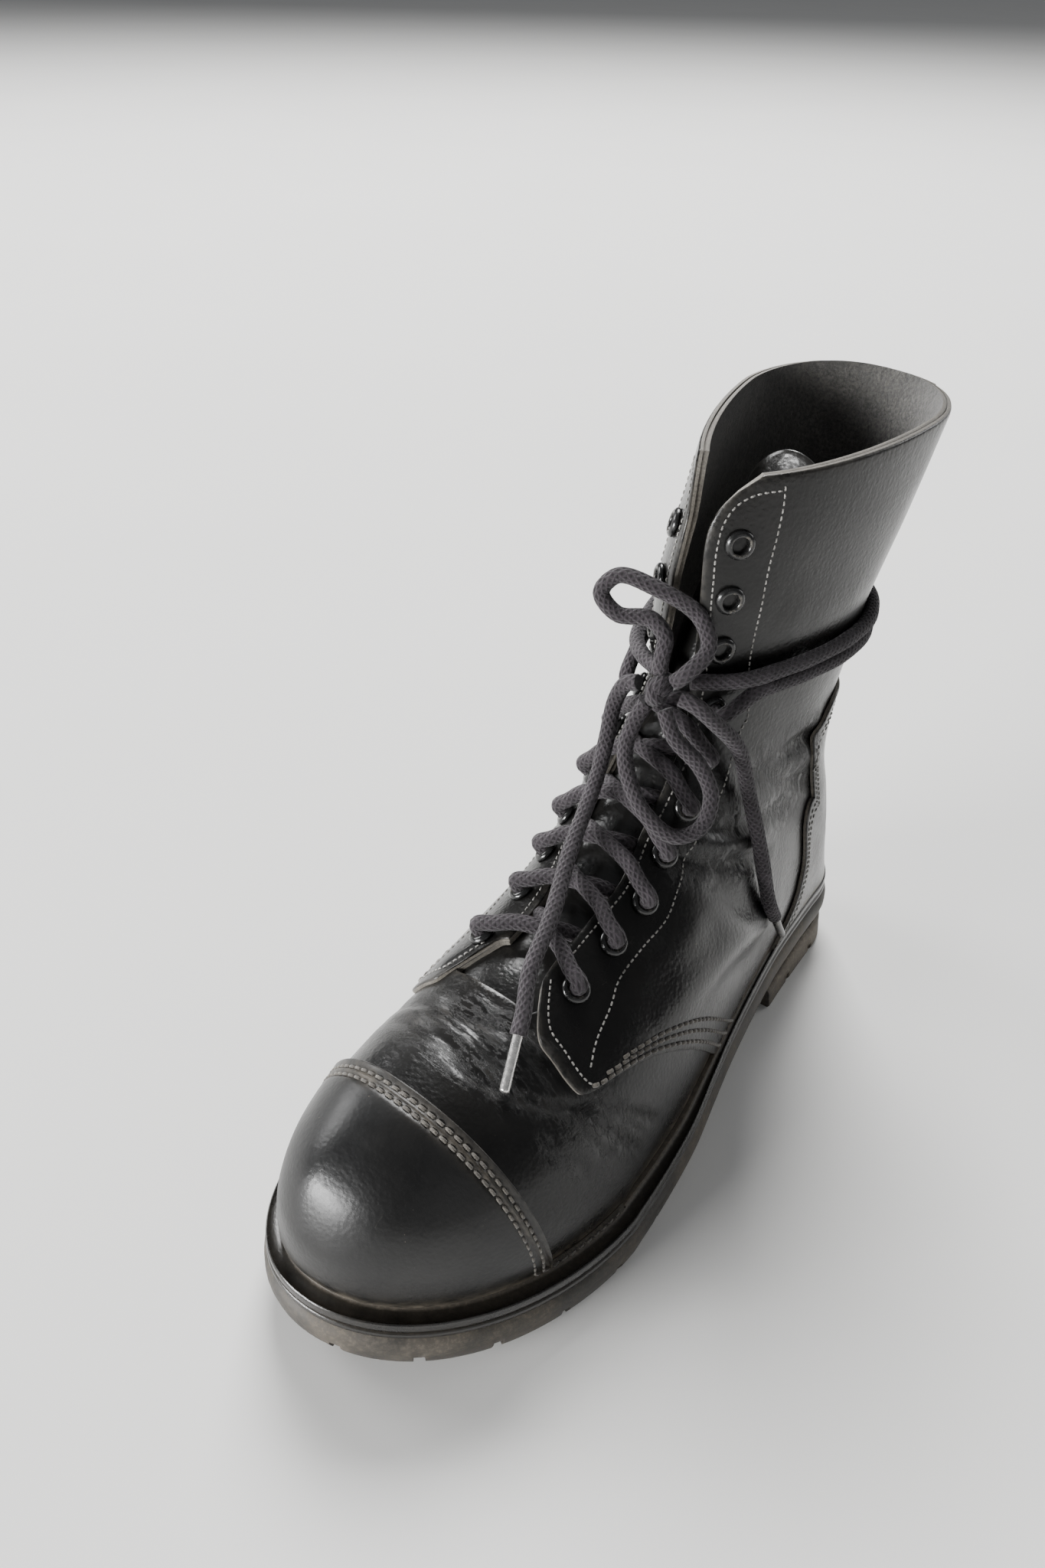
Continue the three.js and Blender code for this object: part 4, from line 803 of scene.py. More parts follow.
@dataclass(frozen=True)
class LaceFinish:
    """Round braid: two families of strands that cross, with fluff, and painted light and shade on
    the strands.
    """

    name: str
    # base is painted as the shade in the grooves between strands, light as the highlight on their
    # crests
    base: Rgb = (0.0095, 0.0072, 0.0090)
    light: Rgb = (0.033, 0.026, 0.0315)
    strands: int = 8
    pitch: float = 0.0027

    def build(self) -> bpy.types.Material:
        """Lays the nodes.

        Returns:
            The finished material.
        """
        bench = NodeBench(self.name)
        uv = bench.tree.nodes.new("ShaderNodeUVMap")
        uv.uv_map = "braid"
        split = bench.tree.nodes.new("ShaderNodeSeparateXYZ")
        bench.tree.links.new(uv.outputs["UV"], split.inputs["Vector"])
        along = bench.math("MULTIPLY", split.outputs["X"], 1 / self.pitch)
        turn = bench.math("MULTIPLY", split.outputs["Y"], self.strands)
        heights = []
        for operation in ("ADD", "SUBTRACT"):
            angle = bench.math("MULTIPLY", bench.math(operation, turn, along), 2 * math.pi)
            heights.append(bench.math("SINE", angle))
        braid = bench.math("MAXIMUM", heights[0], heights[1])
        fluff = bench.noise(1500, 5, 0.75)
        # Painted light and shade: the braid's crests are painted lighter and the grooves between
        # strands darker; the fluff breaks it up.
        lit = bench.spread(braid, -0.6, 1.0)
        lit = bench.math("MULTIPLY", lit, bench.spread(fluff, 0.30, 0.70, 0.35, 1.0))
        colour = bench.blend(lit, self.base, self.light)
        worn = bench.math("MULTIPLY", bench.spread(bench.noise(130, 4, 0.6), 0.5, 0.72), 0.35)
        colour = bench.blend(worn, colour, (0.060, 0.050, 0.058))
        bench.link(colour, "Base Color")
        bench.link(bench.spread(fluff, 0.2, 0.8, 0.8, 1.0), "Roughness")
        bench.set(Sheen_Weight=0.12, Sheen_Roughness=0.4)
        coarse = bench.bump(braid, 0.00022)
        bench.link(bench.bump(fluff, 0.0004, under=coarse), "Normal")
        return bench.material


@dataclass(frozen=True)
class MetalFinish:
    """Metal with an enamel that wears through at its high places."""

    name: str
    enamel: Rgb
    metal: Rgb
    wear: float
    roughness: float

    def build(self) -> bpy.types.Material:
        """Lays the nodes.

        Returns:
            The finished material.
        """
        bench = NodeBench(self.name)
        grain = bench.noise(500, 5, 0.7)
        bare = bench.math("MULTIPLY", bench.attribute("rubbed"), self.wear)
        bare = bench.spread(bench.math("ADD", bare, bench.math("MULTIPLY", grain, 0.55)),
                            0.62, 0.86)
        bench.link(bench.blend(bare, self.enamel, self.metal), "Base Color")
        bench.link(bench.math("MULTIPLY", bare, 0.9), "Metallic")
        bench.link(bench.spread(grain, 0.3, 0.7, self.roughness - 0.06,
                                self.roughness + 0.12), "Roughness")
        bench.link(bench.bump(bench.noise(700, 3), 0.00005), "Normal")
        return bench.material


# Mesh helpers

def place_object(name: str, data: bpy.types.ID) -> bpy.types.Object:
    """Makes an object and links it to the scene."""
    placed = bpy.data.objects.new(name, data)
    bpy.context.scene.collection.objects.link(placed)
    return placed


def add_mesh(name: str, points: np.ndarray, faces: list[list[int]],
             materials: Sequence[bpy.types.Material], face_materials: Sequence[int] = (),
             values: dict[str, np.ndarray] | None = None, sharp: float = 50.0,
             merge: float = 0.0) -> bpy.types.Object:
    """Makes a smooth-shaded mesh object.

    Args:
        name: Name of the piece.
        points: Vertices in metres.
        faces: Corners of each face.
        materials: Materials of the piece.
        face_materials: Material index of each face, or nothing for the first.
        values: Named values per vertex that materials read.
        sharp: Angle in degrees from which an edge stays sharp.
        merge: Distance under which vertices are joined.

    Returns:
        The object, linked to the scene.
    """
    mesh = bpy.data.meshes.new(name)
    mesh.from_pydata(points.tolist(), [], faces)
    for material in materials:
        mesh.materials.append(material)
    if len(face_materials):
        mesh.polygons.foreach_set("material_index", list(face_materials))
    for key in ("creased", "dusty", "rubbed"):
        layer = mesh.attributes.new(key, "FLOAT", "POINT")
        stored = (values or {}).get(key)
        if stored is not None:
            layer.data.foreach_set("value", np.asarray(stored, np.float32).ravel())
    shell = bmesh.new()
    shell.from_mesh(mesh)
    if merge:
        bmesh.ops.remove_doubles(shell, verts=shell.verts, dist=merge)
        bmesh.ops.dissolve_degenerate(shell, dist=merge / 4, edges=shell.edges)
    bmesh.ops.recalc_face_normals(shell, faces=shell.faces)
    shell.to_mesh(mesh)
    shell.free()
    mesh.shade_smooth()
    mesh.set_sharp_from_angle(angle=math.radians(sharp))
    return place_object(name, mesh)


def enlist(piece: bpy.types.Object, slot: str, *nodes: str) -> bpy.types.Object:
    """Hangs a piece under the root body, hides the solids that it stands for and logs it.

    Args:
        piece: The piece.
        slot: Its material slot; not used.
        nodes: Solids that it stands for.

    Returns:
        The same piece.
    """
    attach(piece, "root")
    if nodes:
        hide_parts(*nodes)
    LOG.info("%s: %d faces, stands for %s", piece.name, len(piece.data.polygons),
             ", ".join(nodes) or "nothing")
    return piece


def grid_faces(rows: int, columns: int, start: int = 0, flip: bool = False) -> list[list[int]]:
    """Faces of a grid of vertices stored row by row.

    Args:
        rows: Number of rows of vertices.
        columns: Vertices in a row.
        start: Index of the first vertex.
        flip: Whether the faces look the other way.

    Returns:
        Corners of each face.
    """
    index = start + np.arange(rows * columns).reshape(rows, columns)
    corners = [index[:-1, :-1], index[:-1, 1:], index[1:, 1:], index[1:, :-1]]
    if flip:
        corners.reverse()
    return np.stack([corner.ravel() for corner in corners], axis=1).tolist()


def tube_faces(rows: int, around: int, start: int = 0, closed: bool = False) -> list[list[int]]:
    """Faces of a tube whose rings of vertices are stored one after another.

    Args:
        rows: Number of rings.
        around: Vertices in a ring.
        start: Index of the first vertex.
        closed: Whether the last ring joins the first, instead of a cap on both.

    Returns:
        Corners of each face.
    """
    index = start + np.arange(rows * around).reshape(rows, around)
    if closed:
        index = np.concatenate([index, index[:1]])
    ahead = np.roll(index, -1, axis=1)
    corners = [index[:-1], ahead[:-1], ahead[1:], index[1:]]
    sides = np.stack([corner.ravel() for corner in corners], axis=1).tolist()
    if closed:
        return sides
    return [*sides, index[0, ::-1].tolist(), index[-1].tolist()]


def as_corners(pairs: Sequence[tuple[np.ndarray, np.ndarray]]) -> np.ndarray:
    """Corners of a profile as (n, corners, 2), from pairs of out and up."""
    return np.stack([np.stack(pair, axis=-1) for pair in pairs], axis=1)


def with_edges(count: int, length: float, edge: float = 0.5 * MM) -> np.ndarray:
    """Even steps from 0 to 1 with one short step at each end.

    Args:
        count: Number of steps between the short ones.
        length: Length in metres that the steps cover.
        edge: Length of the short steps.

    Returns:
        The shares.
    """
    tip = min(edge / max(length, 1e-6), 0.1)
    return np.concatenate([[0, 0.4 * tip], np.linspace(tip, 1 - tip, count + 1),
                           [1 - 0.4 * tip, 1]])


@dataclass
class SheetCutter:
    """Turns grids of places on the form into closed sheets of leather."""

    form: FootForm
    relief: Relief

    def cut(self, name: str, stations: np.ndarray, arounds: np.ndarray, outer: float,
            inner: float, materials: Sequence[bpy.types.Material],
            free: tuple[bool, bool, bool, bool], creasing: float = 1.0,
            puff: np.ndarray | float = 0.0,
            dust: np.ndarray | float = 0.0) -> bpy.types.Object:
        """Makes one sheet.

        Args:
            name: Name of the piece.
            stations: Station of each place in the grid.
            arounds: Share around of each place.
            outer: Depth of its face.
            inner: Depth of its back.
            materials: Face, cut edge and back.
            free: Whether the first row, last row, first column and last column are cut edges.
            creasing: How much of the creases it takes.
            puff: Height added to its face.
            dust: Dust on its face.

        Returns:
            The piece.
        """
        base = self.form.point(stations, arounds)
        normal = self.form.normal(stations, arounds)
        height, creased = self.relief.depth(base)
        height = height * creasing
        thick = outer - inner
        rounded = self.roll(stations.shape, free)
        face = base + normal * (outer + height + puff - rounded * 0.8 * thick)[..., None]
        back = base + normal * (inner + height)[..., None]
        return self.close(name, face, back, materials, free, creased, 1.0, dust)

    def close(self, name: str, face: np.ndarray, back: np.ndarray,
              materials: Sequence[bpy.types.Material], free: tuple[bool, bool, bool, bool],
              creased: np.ndarray, rubbed: float,
              dust: np.ndarray | float = 0.0) -> bpy.types.Object:
        """Closes a sheet's face and back along its edges.

        Args:
            name: Name of the piece.
            face: Grid of points on its face.
            back: The same grid on its back.
            materials: Face, cut edge and back.
            free: Whether the first row, last row, first column and last column are cut edges.
            creased: How creased each place is.
            rubbed: How rubbed its free edges are.
            dust: Dust on its face.

        Returns:
            The piece.
        """
        rows, columns = creased.shape
        away = self.edge_distance(face, free)
        wear = np.exp(-away / (1.4 * MM)) * rubbed
        floor_gap = face[..., 2] - self.form.feather_height(face[..., 1])
        dusty = np.maximum(np.exp(-np.clip(floor_gap, 0, 1) / (2.6 * MM)) * 0.85, dust)
        values = {"creased": np.tile(creased.ravel(), 2), "dusty": np.tile(dusty.ravel(), 2),
                  "rubbed": np.tile(wear.ravel(), 2)}
        count = rows * columns
        border = self._border(rows, columns)
        rim = [[b, a, a + count, b + count] for a, b in zip(border, border[1:] + border[:1])]
        faces: list[list[int]] = []
        face_materials: list[int] = []
        for slot, part in ((0, grid_faces(rows, columns)),
                           (2, grid_faces(rows, columns, count, flip=True)), (1, rim)):
            faces += part
            face_materials += [slot] * len(part)
        points = np.concatenate([face.reshape(-1, 3), back.reshape(-1, 3)])
        return add_mesh(name, points, faces, materials, face_materials, values, sharp=62)

    @staticmethod
    def roll(shape: tuple[int, int], free: tuple[bool, bool, bool, bool]) -> np.ndarray:
        """How far a face is rounded down by its free edges, as a share of the thickness.

        Args:
            shape: Rows and columns of the grid.
            free: Whether the first row, last row, first column and last column are cut edges.

        Returns:
            The shares.
        """
        rolled = np.zeros(shape)
        for step, drop in ((1, 0.12), (0, 0.45)):
            lines = (rolled[step], rolled[-1 - step], rolled[:, step], rolled[:, -1 - step])
            for line, cut in zip(lines, free):
                if cut:
                    np.maximum(line, drop, out=line)
        return rolled

    @staticmethod
    def _border(rows: int, columns: int) -> list[int]:
        """Indices of a grid's outer vertices, in order."""
        index = np.arange(rows * columns).reshape(rows, columns)
        ring = [*index[0, :-1], *index[:-1, -1], *index[-1, :0:-1], *index[:0:-1, 0]]
        return [int(i) for i in ring]

    @staticmethod
    def edge_distance(face: np.ndarray, free: tuple[bool, bool, bool, bool]) -> np.ndarray:
        """Distance of each place from the nearest free edge, along rows and columns."""
        away = np.full(face.shape[:-1], 1.0)
        down = np.linalg.norm(np.diff(face, axis=0), axis=-1)
        down = np.concatenate([np.zeros((1, face.shape[1])), np.cumsum(down, axis=0)])
        across = np.linalg.norm(np.diff(face, axis=1), axis=-1)
        across = np.concatenate([np.zeros((face.shape[0], 1)), np.cumsum(across, axis=1)],
                                axis=1)
        if free[0]:
            away = np.minimum(away, down)
        if free[1]:
            away = np.minimum(away, down[-1:] - down)
        if free[2]:
            away = np.minimum(away, across)
        if free[3]:
            away = np.minimum(away, across[:, -1:] - across)
        return away


@dataclass
class Stitcher:
    """Sews rows of thread along paths on the leather."""

    form: FootForm
    relief: Relief

    def row(self, stations: np.ndarray, arounds: np.ndarray, depth: float,
            pitch: float, thick: float, share: float = 0.72) -> list[np.ndarray]:
        """Stitches of one row.

        Args:
            stations: Stations along the path.
            arounds: Shares around along the path.
            depth: Depth of the leather's face.
            pitch: Distance from stitch to stitch.
            thick: Width of the thread.
            share: Part of the pitch that the thread shows.

        Returns:
            Vertices of each stitch.
        """
        base = self.form.point(stations, arounds)
        height, _ = self.relief.depth(base)
        normals = self.form.normal(stations, arounds)
        line = base + normals * (depth + height)[..., None]
        lengths = lengths_along(line)
        count = int(lengths[-1] / pitch)
        half = share * pitch / 2
        stitches = []
        for k in range(count):
            middle = (k + 0.5) * lengths[-1] / count
            ends = [read_line(middle + shift, lengths, line) for shift in (-half, half)]
            normal = unit(read_line(middle, lengths, normals))
            stitches.append(self._stitch(ends[0], ends[1], normal, thick))
        return stitches
    @staticmethod
    def _stitch(start: np.ndarray, end: np.ndarray, normal: np.ndarray,
                thick: float) -> np.ndarray:
        """Vertices of one stitch: five rings of six that dip at both ends."""
        side = unit(np.cross(normal, end - start))
        rings = []
        for t, swell, lift in ((0.0, 0.55, -0.35), (0.14, 0.95, 0.08), (0.5, 1.0, 0.22),
                               (0.86, 0.95, 0.08), (1.0, 0.55, -0.35)):
            centre = start + (end - start) * t + normal * thick * lift
            for k in range(6):
                angle = 2 * math.pi * k / 6
                rings.append(centre + thick / 2 * swell
                             * (side * math.cos(angle) + 0.8 * normal * math.sin(angle)))
        return np.array(rings)

    def sew(self, name: str, stitches: list[np.ndarray], slot: str,
            material: bpy.types.Material) -> bpy.types.Object:
        """Joins stitches into one piece.

        Args:
            name: Name of the piece.
            stitches: Vertices of each stitch.
            slot: Material slot, passed on but not used.
            material: Finish of the thread.

        Returns:
            The piece.
        """
        template = tube_faces(5, 6)
        faces = [[i + 30 * n for i in corner] for n in range(len(stitches))
                 for corner in template]
        piece = add_mesh(name, np.concatenate(stitches), faces, [material], sharp=80)
        return enlist(piece, slot)


@dataclass
class Finishes:
    """Every material of the boot, built once."""

    leather: bpy.types.Material = field(init=False)
    polished: bpy.types.Material = field(init=False)
    tongue: bpy.types.Material = field(init=False)
    edge: bpy.types.Material = field(init=False)
    suede: bpy.types.Material = field(init=False)
    rubber: bpy.types.Material = field(init=False)
    heel_rubber: bpy.types.Material = field(init=False)
    welt: bpy.types.Material = field(init=False)
    board: bpy.types.Material = field(init=False)
    pale_thread: bpy.types.Material = field(init=False)
    dark_thread: bpy.types.Material = field(init=False)
    lace: bpy.types.Material = field(init=False)
    enamel: bpy.types.Material = field(init=False)
    steel: bpy.types.Material = field(init=False)

    def __post_init__(self) -> None:
        """Builds the materials."""
        self.leather = LeatherFinish("smooth_black_leather").build()
        self.polished = LeatherFinish("polished_toe_leather", base=(0.0032, 0.0032, 0.0033),
                                      faded=(0.0075, 0.0072, 0.0068), roughness=0.39,
                                      rough_spread=0.14, specular=0.34, coat=0.10,
                                      coat_roughness=0.26, grain=0.00006).build()
        self.tongue = LeatherFinish("soft_tongue_leather", base=(0.006, 0.0058, 0.0055),
                                    roughness=0.3, specular=0.4, coat=0.3, coat_roughness=0.18,
                                    grain=0.00012).build()
        self.edge = RawLeatherFinish("cut_leather_edge", dark=(0.060, 0.053, 0.043),
                                     light=(0.19, 0.172, 0.142), fibre=1400,
                                     worn=(0.30, 0.275, 0.235)).build()
        self.suede = RawLeatherFinish("flesh_side_lining", dark=(0.014, 0.0135, 0.0125),
                                      light=(0.115, 0.108, 0.096), depth=0.0012,
                                      worn=(0.16, 0.148, 0.13)).build()
        self.rubber = RubberFinish("dusty_sole_rubber", base=(0.022, 0.020, 0.017),
                                   dust=(0.140, 0.120, 0.094), dust_amount=0.62,
                                   roughness=0.55).build()
        self.heel_rubber = RubberFinish("dusty_heel_rubber", base=(0.045, 0.040, 0.034),
                                        dust=(0.19, 0.165, 0.13), dust_amount=0.75,
                                        roughness=0.6).build()
        self.welt = RubberFinish("glossy_welt_rubber", base=(0.005, 0.005, 0.005),
                                 dust=(0.115, 0.096, 0.072), dust_amount=0.10,
                                 roughness=0.26, coat=0.2).build()
        self.board = RawLeatherFinish("insole_board", dark=(0.10, 0.085, 0.066),
                                      light=(0.25, 0.215, 0.17)).build()
        self.pale_thread = ThreadFinish("pale_grey_thread", (0.13, 0.125, 0.115),
                                        (0.32, 0.31, 0.29)).build()
        self.dark_thread = ThreadFinish("grey_brown_thread", (0.034, 0.030, 0.025),
                                        (0.120, 0.108, 0.090)).build()
        self.lace = LaceFinish("braided_lace").build()
        self.enamel = MetalFinish("black_enamel_eyelet", (0.008, 0.008, 0.008),
                                  (0.20, 0.185, 0.16), 0.40, 0.20).build()
        self.steel = MetalFinish("crimped_steel", (0.50, 0.49, 0.47), (0.66, 0.65, 0.63),
                                 1.0, 0.24).build()


# Leather pieces

@dataclass
class ToeCap:
    """Polished cap over the steel toe, with two rows of stitches by its edge.

    The groove along each row, the ridge between them, the lifted edge and the dust each have a
    height or amount and a width. These and the places of the rows are in millimetres.
    """

    cutter: SheetCutter
    stitcher: Stitcher
    finishes: Finishes
    back_at_sole: float = 206 * MM
    back_at_top: float = 219 * MM
    stitch_rows: tuple[float, float] = (2.9, 5.9)
    groove: tuple[float, float] = (0.5, 1.0)
    ridge: tuple[float, float] = (0.25, 0.9)
    lift: tuple[float, float] = (0.35, 1.3)
    dust: tuple[float, float] = (0.24, 2.6)
    dust_place: float = 4.2
    rows: int = 90
    columns: int = 190

    def _edge(self, arounds: np.ndarray, forward: float = 0.0) -> np.ndarray:
        """Stations of the cap's back edge, or of a line a distance toe-ward of it."""
        form = self.cutter.form
        lean = (self.back_at_top - self.back_at_sole) / form.toe_height

        def behind(points: np.ndarray) -> np.ndarray:
            """Distance past the edge's slanted plane."""
            plane = self.back_at_sole + lean * (points[..., 2] - form.sole_thickness)
            return points[..., 1] + plane + forward
        return form.station_at(behind, arounds, 0.0, 0.5)

    def build(self) -> None:
        """Makes the cap and its stitches."""
        arounds = np.linspace(-1, 1, self.columns)
        edge = self._edge(arounds)
        shares = np.concatenate([np.linspace(0, 0.88, self.rows), np.linspace(0.884, 0.992, 34),
                                 [0.996, 0.9985, 1]])
        stations = shares[:, None] * edge[None, :]
        wide = np.broadcast_to(arounds, stations.shape)
        place = self.cutter.form.point(stations, wide)
        away = self.cutter.edge_distance(place, (False, True, False, False)) / MM
        puff = (self.ridge[0] * bell(away, sum(self.stitch_rows) / 2, self.ridge[1])
                + self.lift[0] * bell(away, 0, self.lift[1])
                - self.groove[0] * sum(bell(away, row, self.groove[1])
                                       for row in self.stitch_rows)) * MM
        dust = self.dust[0] * bell(away, self.dust_place, self.dust[1])
        finishes = self.finishes
        piece = self.cutter.cut("toe_cap_leather", stations, wide, Layer.CAP_OUT,
                                Layer.CAP_IN, [finishes.polished, finishes.edge,
                                               finishes.suede],
                                free=(False, True, False, False), creasing=0.0, puff=puff,
                                dust=dust)
        enlist(piece, "polished_leather", "toe_cap")
        stitches = []
        path = np.linspace(-0.97, 0.97, 400)
        for forward in self.stitch_rows:
            stitches += self.stitcher.row(self._edge(path, forward * MM), path,
                                          Layer.CAP_OUT - 0.3 * MM, 3.5 * MM, 1.1 * MM, 0.88)
        self.stitcher.sew("toe_cap_stitches", stitches, "polished_leather",
                          finishes.dark_thread)


@dataclass
class Quarters:
    """The vamp, the two quarters that rise from it to the collar, and their linings."""

    cutter: SheetCutter
    stitcher: Stitcher
    finishes: Finishes
    edge_seam: float = 0.027
    tucked_under: float = 0.022
    lining_inset: float = 0.004
    seam_rows: int = 3
    rows: int = 150
    columns: int = 90

    def build(self) -> None:
        """Makes the upper's sheets and rows of stitches."""
        self._vamp()
        for side in Side:
            self._quarter(side)
            self._lining(side)
            self._stitches(side)

    @staticmethod
    def edge_station(arounds: np.ndarray) -> np.ndarray:
        """Station of the quarters' front edge."""
        return smooth_curve(QUARTER_ROWS, 1, np.abs(arounds))

    @staticmethod
    def facing(stations: np.ndarray, side: Side) -> np.ndarray:
        """Share around of the facing's edge."""
        return smooth_curve(THROAT_ROWS, 1 if side is Side.LATERAL else 2, stations)

    def _vamp(self) -> None:
        """Front of the upper, from the toe to under the quarters."""
        arounds = np.concatenate([np.linspace(-1, -0.20, 75), np.linspace(-0.19, 0.19, 50),
                                  np.linspace(0.20, 1, 75)])
        tucked = self.edge_station(arounds) + self.tucked_under
        middle = np.interp(arounds, [-0.24, -0.17, 0.15, 0.22], [0, 1, 1, 0])
        end = tucked * (1 - middle) + 0.331 * middle
        shares = with_edges(112, 0.16)
        stations = shares[:, None] * end[None, :]
        wide = np.broadcast_to(arounds, stations.shape)
        finishes = self.finishes
        piece = self.cutter.cut("vamp", stations, wide, Layer.VAMP, Layer.LINING,
                                [finishes.leather, finishes.edge, finishes.suede],
                                free=(False, True, False, False))
        enlist(piece, "leather", "upper")

    def _grid(self, side: Side, inset: float) -> tuple[np.ndarray, np.ndarray]:
        """Places of a quarter between its front edge, facing, collar and back seam.

        Args:
            side: Which quarter.
            inset: Share around that the facing is set back by.

        Returns:
            Stations and shares around.
        """
        up = with_edges(self.rows, 0.20)[:, None]
        across = with_edges(self.columns, 0.15)[None, :]
        stations = np.broadcast_to(0.4 + 0.6 * up, (up.size, across.size)).copy()
        for _ in range(30):
            edge = self.facing(stations, side) + inset
            arounds = edge + (1 - edge) * across
            front = self.edge_station(arounds)
            stations = 0.5 * stations + 0.5 * (front + (1 - front) * up)
        return stations, side.value * arounds

    def _quarter(self, side: Side) -> None:
        """Outer leather of one side."""
        stations, arounds = self._grid(side, 0.0)
        finishes = self.finishes
        piece = self.cutter.cut(f"quarter_{side.word}", stations, arounds, Layer.QUARTER,
                                Layer.VAMP + 0.02 * MM,
                                [finishes.leather, finishes.edge, finishes.edge],
                                free=(True, True, True, False))
        enlist(piece, "leather", "upper")

    def _lining(self, side: Side) -> None:
        """Flesh side of the inner leather on one side."""
        stations, arounds = self._grid(side, self.lining_inset)
        finishes = self.finishes
        piece = self.cutter.cut(f"lining_{side.word}", stations, arounds, Layer.LINING_FACE,
                                Layer.LINING, [finishes.edge, finishes.edge, finishes.suede],
                                free=(False, True, True, False))
        enlist(piece, "leather", "upper")

    def _stitches(self, side: Side) -> None:
        """Thread rows of one side."""
        finishes = self.finishes
        sign = side.value
        heavy: list[np.ndarray] = []
        for k in range(self.seam_rows):
            start = 0.425 + 0.012 * k
            arounds = np.linspace(start, 0.99, 160)
            stations = self.edge_station(arounds) + 0.010 + 0.0125 * k
            heavy += self.stitcher.row(stations, sign * arounds, Layer.QUARTER,
                                       3.4 * MM, 1.4 * MM, 0.9)
        self.stitcher.sew(f"quarter_seam_{side.word}", heavy, "leather", finishes.dark_thread)
        pale: list[np.ndarray] = []
        arounds = np.linspace(0.13, 0.425, 120)
        pale += self.stitcher.row(self.edge_station(arounds) + 0.012, sign * arounds,
                                  Layer.QUARTER, 2.1 * MM, 0.6 * MM)
        stations = np.linspace(0.385, 0.956, 300)
        arounds = self.facing(stations, side) + self.edge_seam
        corner = np.linspace(0, 1, 60)
        corner_rows = np.column_stack([np.linspace(0, 1, 6), COLLAR_CORNER])
        shift = 0.0 if side is Side.LATERAL else 0.025
        stations = np.concatenate([stations, smooth_curve(corner_rows, 1, corner[1:])])
        arounds = np.concatenate([arounds, smooth_curve(corner_rows, 2, corner[1:]) + shift])
        pale += self.stitcher.row(stations, sign * arounds, Layer.QUARTER, 2.2 * MM,
                                  0.6 * MM)
        rows = FACING_SEAM_LATERAL if side is Side.LATERAL else FACING_SEAM_MEDIAL
        along = np.linspace(rows[0, 0], rows[-1, 0], 300)
        pale += self.stitcher.row(along, sign * smooth_curve(rows, 1, along),
                                  Layer.QUARTER, 2.3 * MM, 0.65 * MM)
        self.stitcher.sew(f"facing_thread_{side.word}", pale, "leather",
                          finishes.pale_thread)


# The long seam behind the eyelets: station and share around
FACING_SEAM_LATERAL = np.array([
    [.325, .388], [.344, .350], [.375, .312], [.394, .280], [.425, .272], [.462, .278],
    [.488, .250], [.519, .213], [.545, .200], [.594, .205], [.669, .180], [.740, .178],
    [.819, .182], [.900, .184], [.950, .176], [.981, .163], [.994, .150],
])
FACING_SEAM_MEDIAL = np.array([
    [.325, .388], [.344, .330], [.381, .285], [.406, .288], [.450, .300], [.488, .300],
    [.513, .288], [.544, .270], [.600, .250], [.669, .215], [.740, .205], [.819, .200],
    [.900, .200], [.950, .190], [.981, .178], [.994, .165],
])

# Where the facing's seam turns along the collar: station and share around
COLLAR_CORNER = np.array([
    [.960, .046], [.971, .050], [.981, .062], [.987, .082], [.990, .108], [.991, .150],
])

# Heel counter outline in side view: share of heel width forward, share of shaft height up
COUNTER_FRONT = (
    (0.66, 0.14), (0.46, 0.19), (0.40, 0.26), (0.46, 0.37), (0.48, 0.50),
)
COUNTER_TOP = ((0.48, 0.50), (0.38, 0.545), (0.10, 0.575))


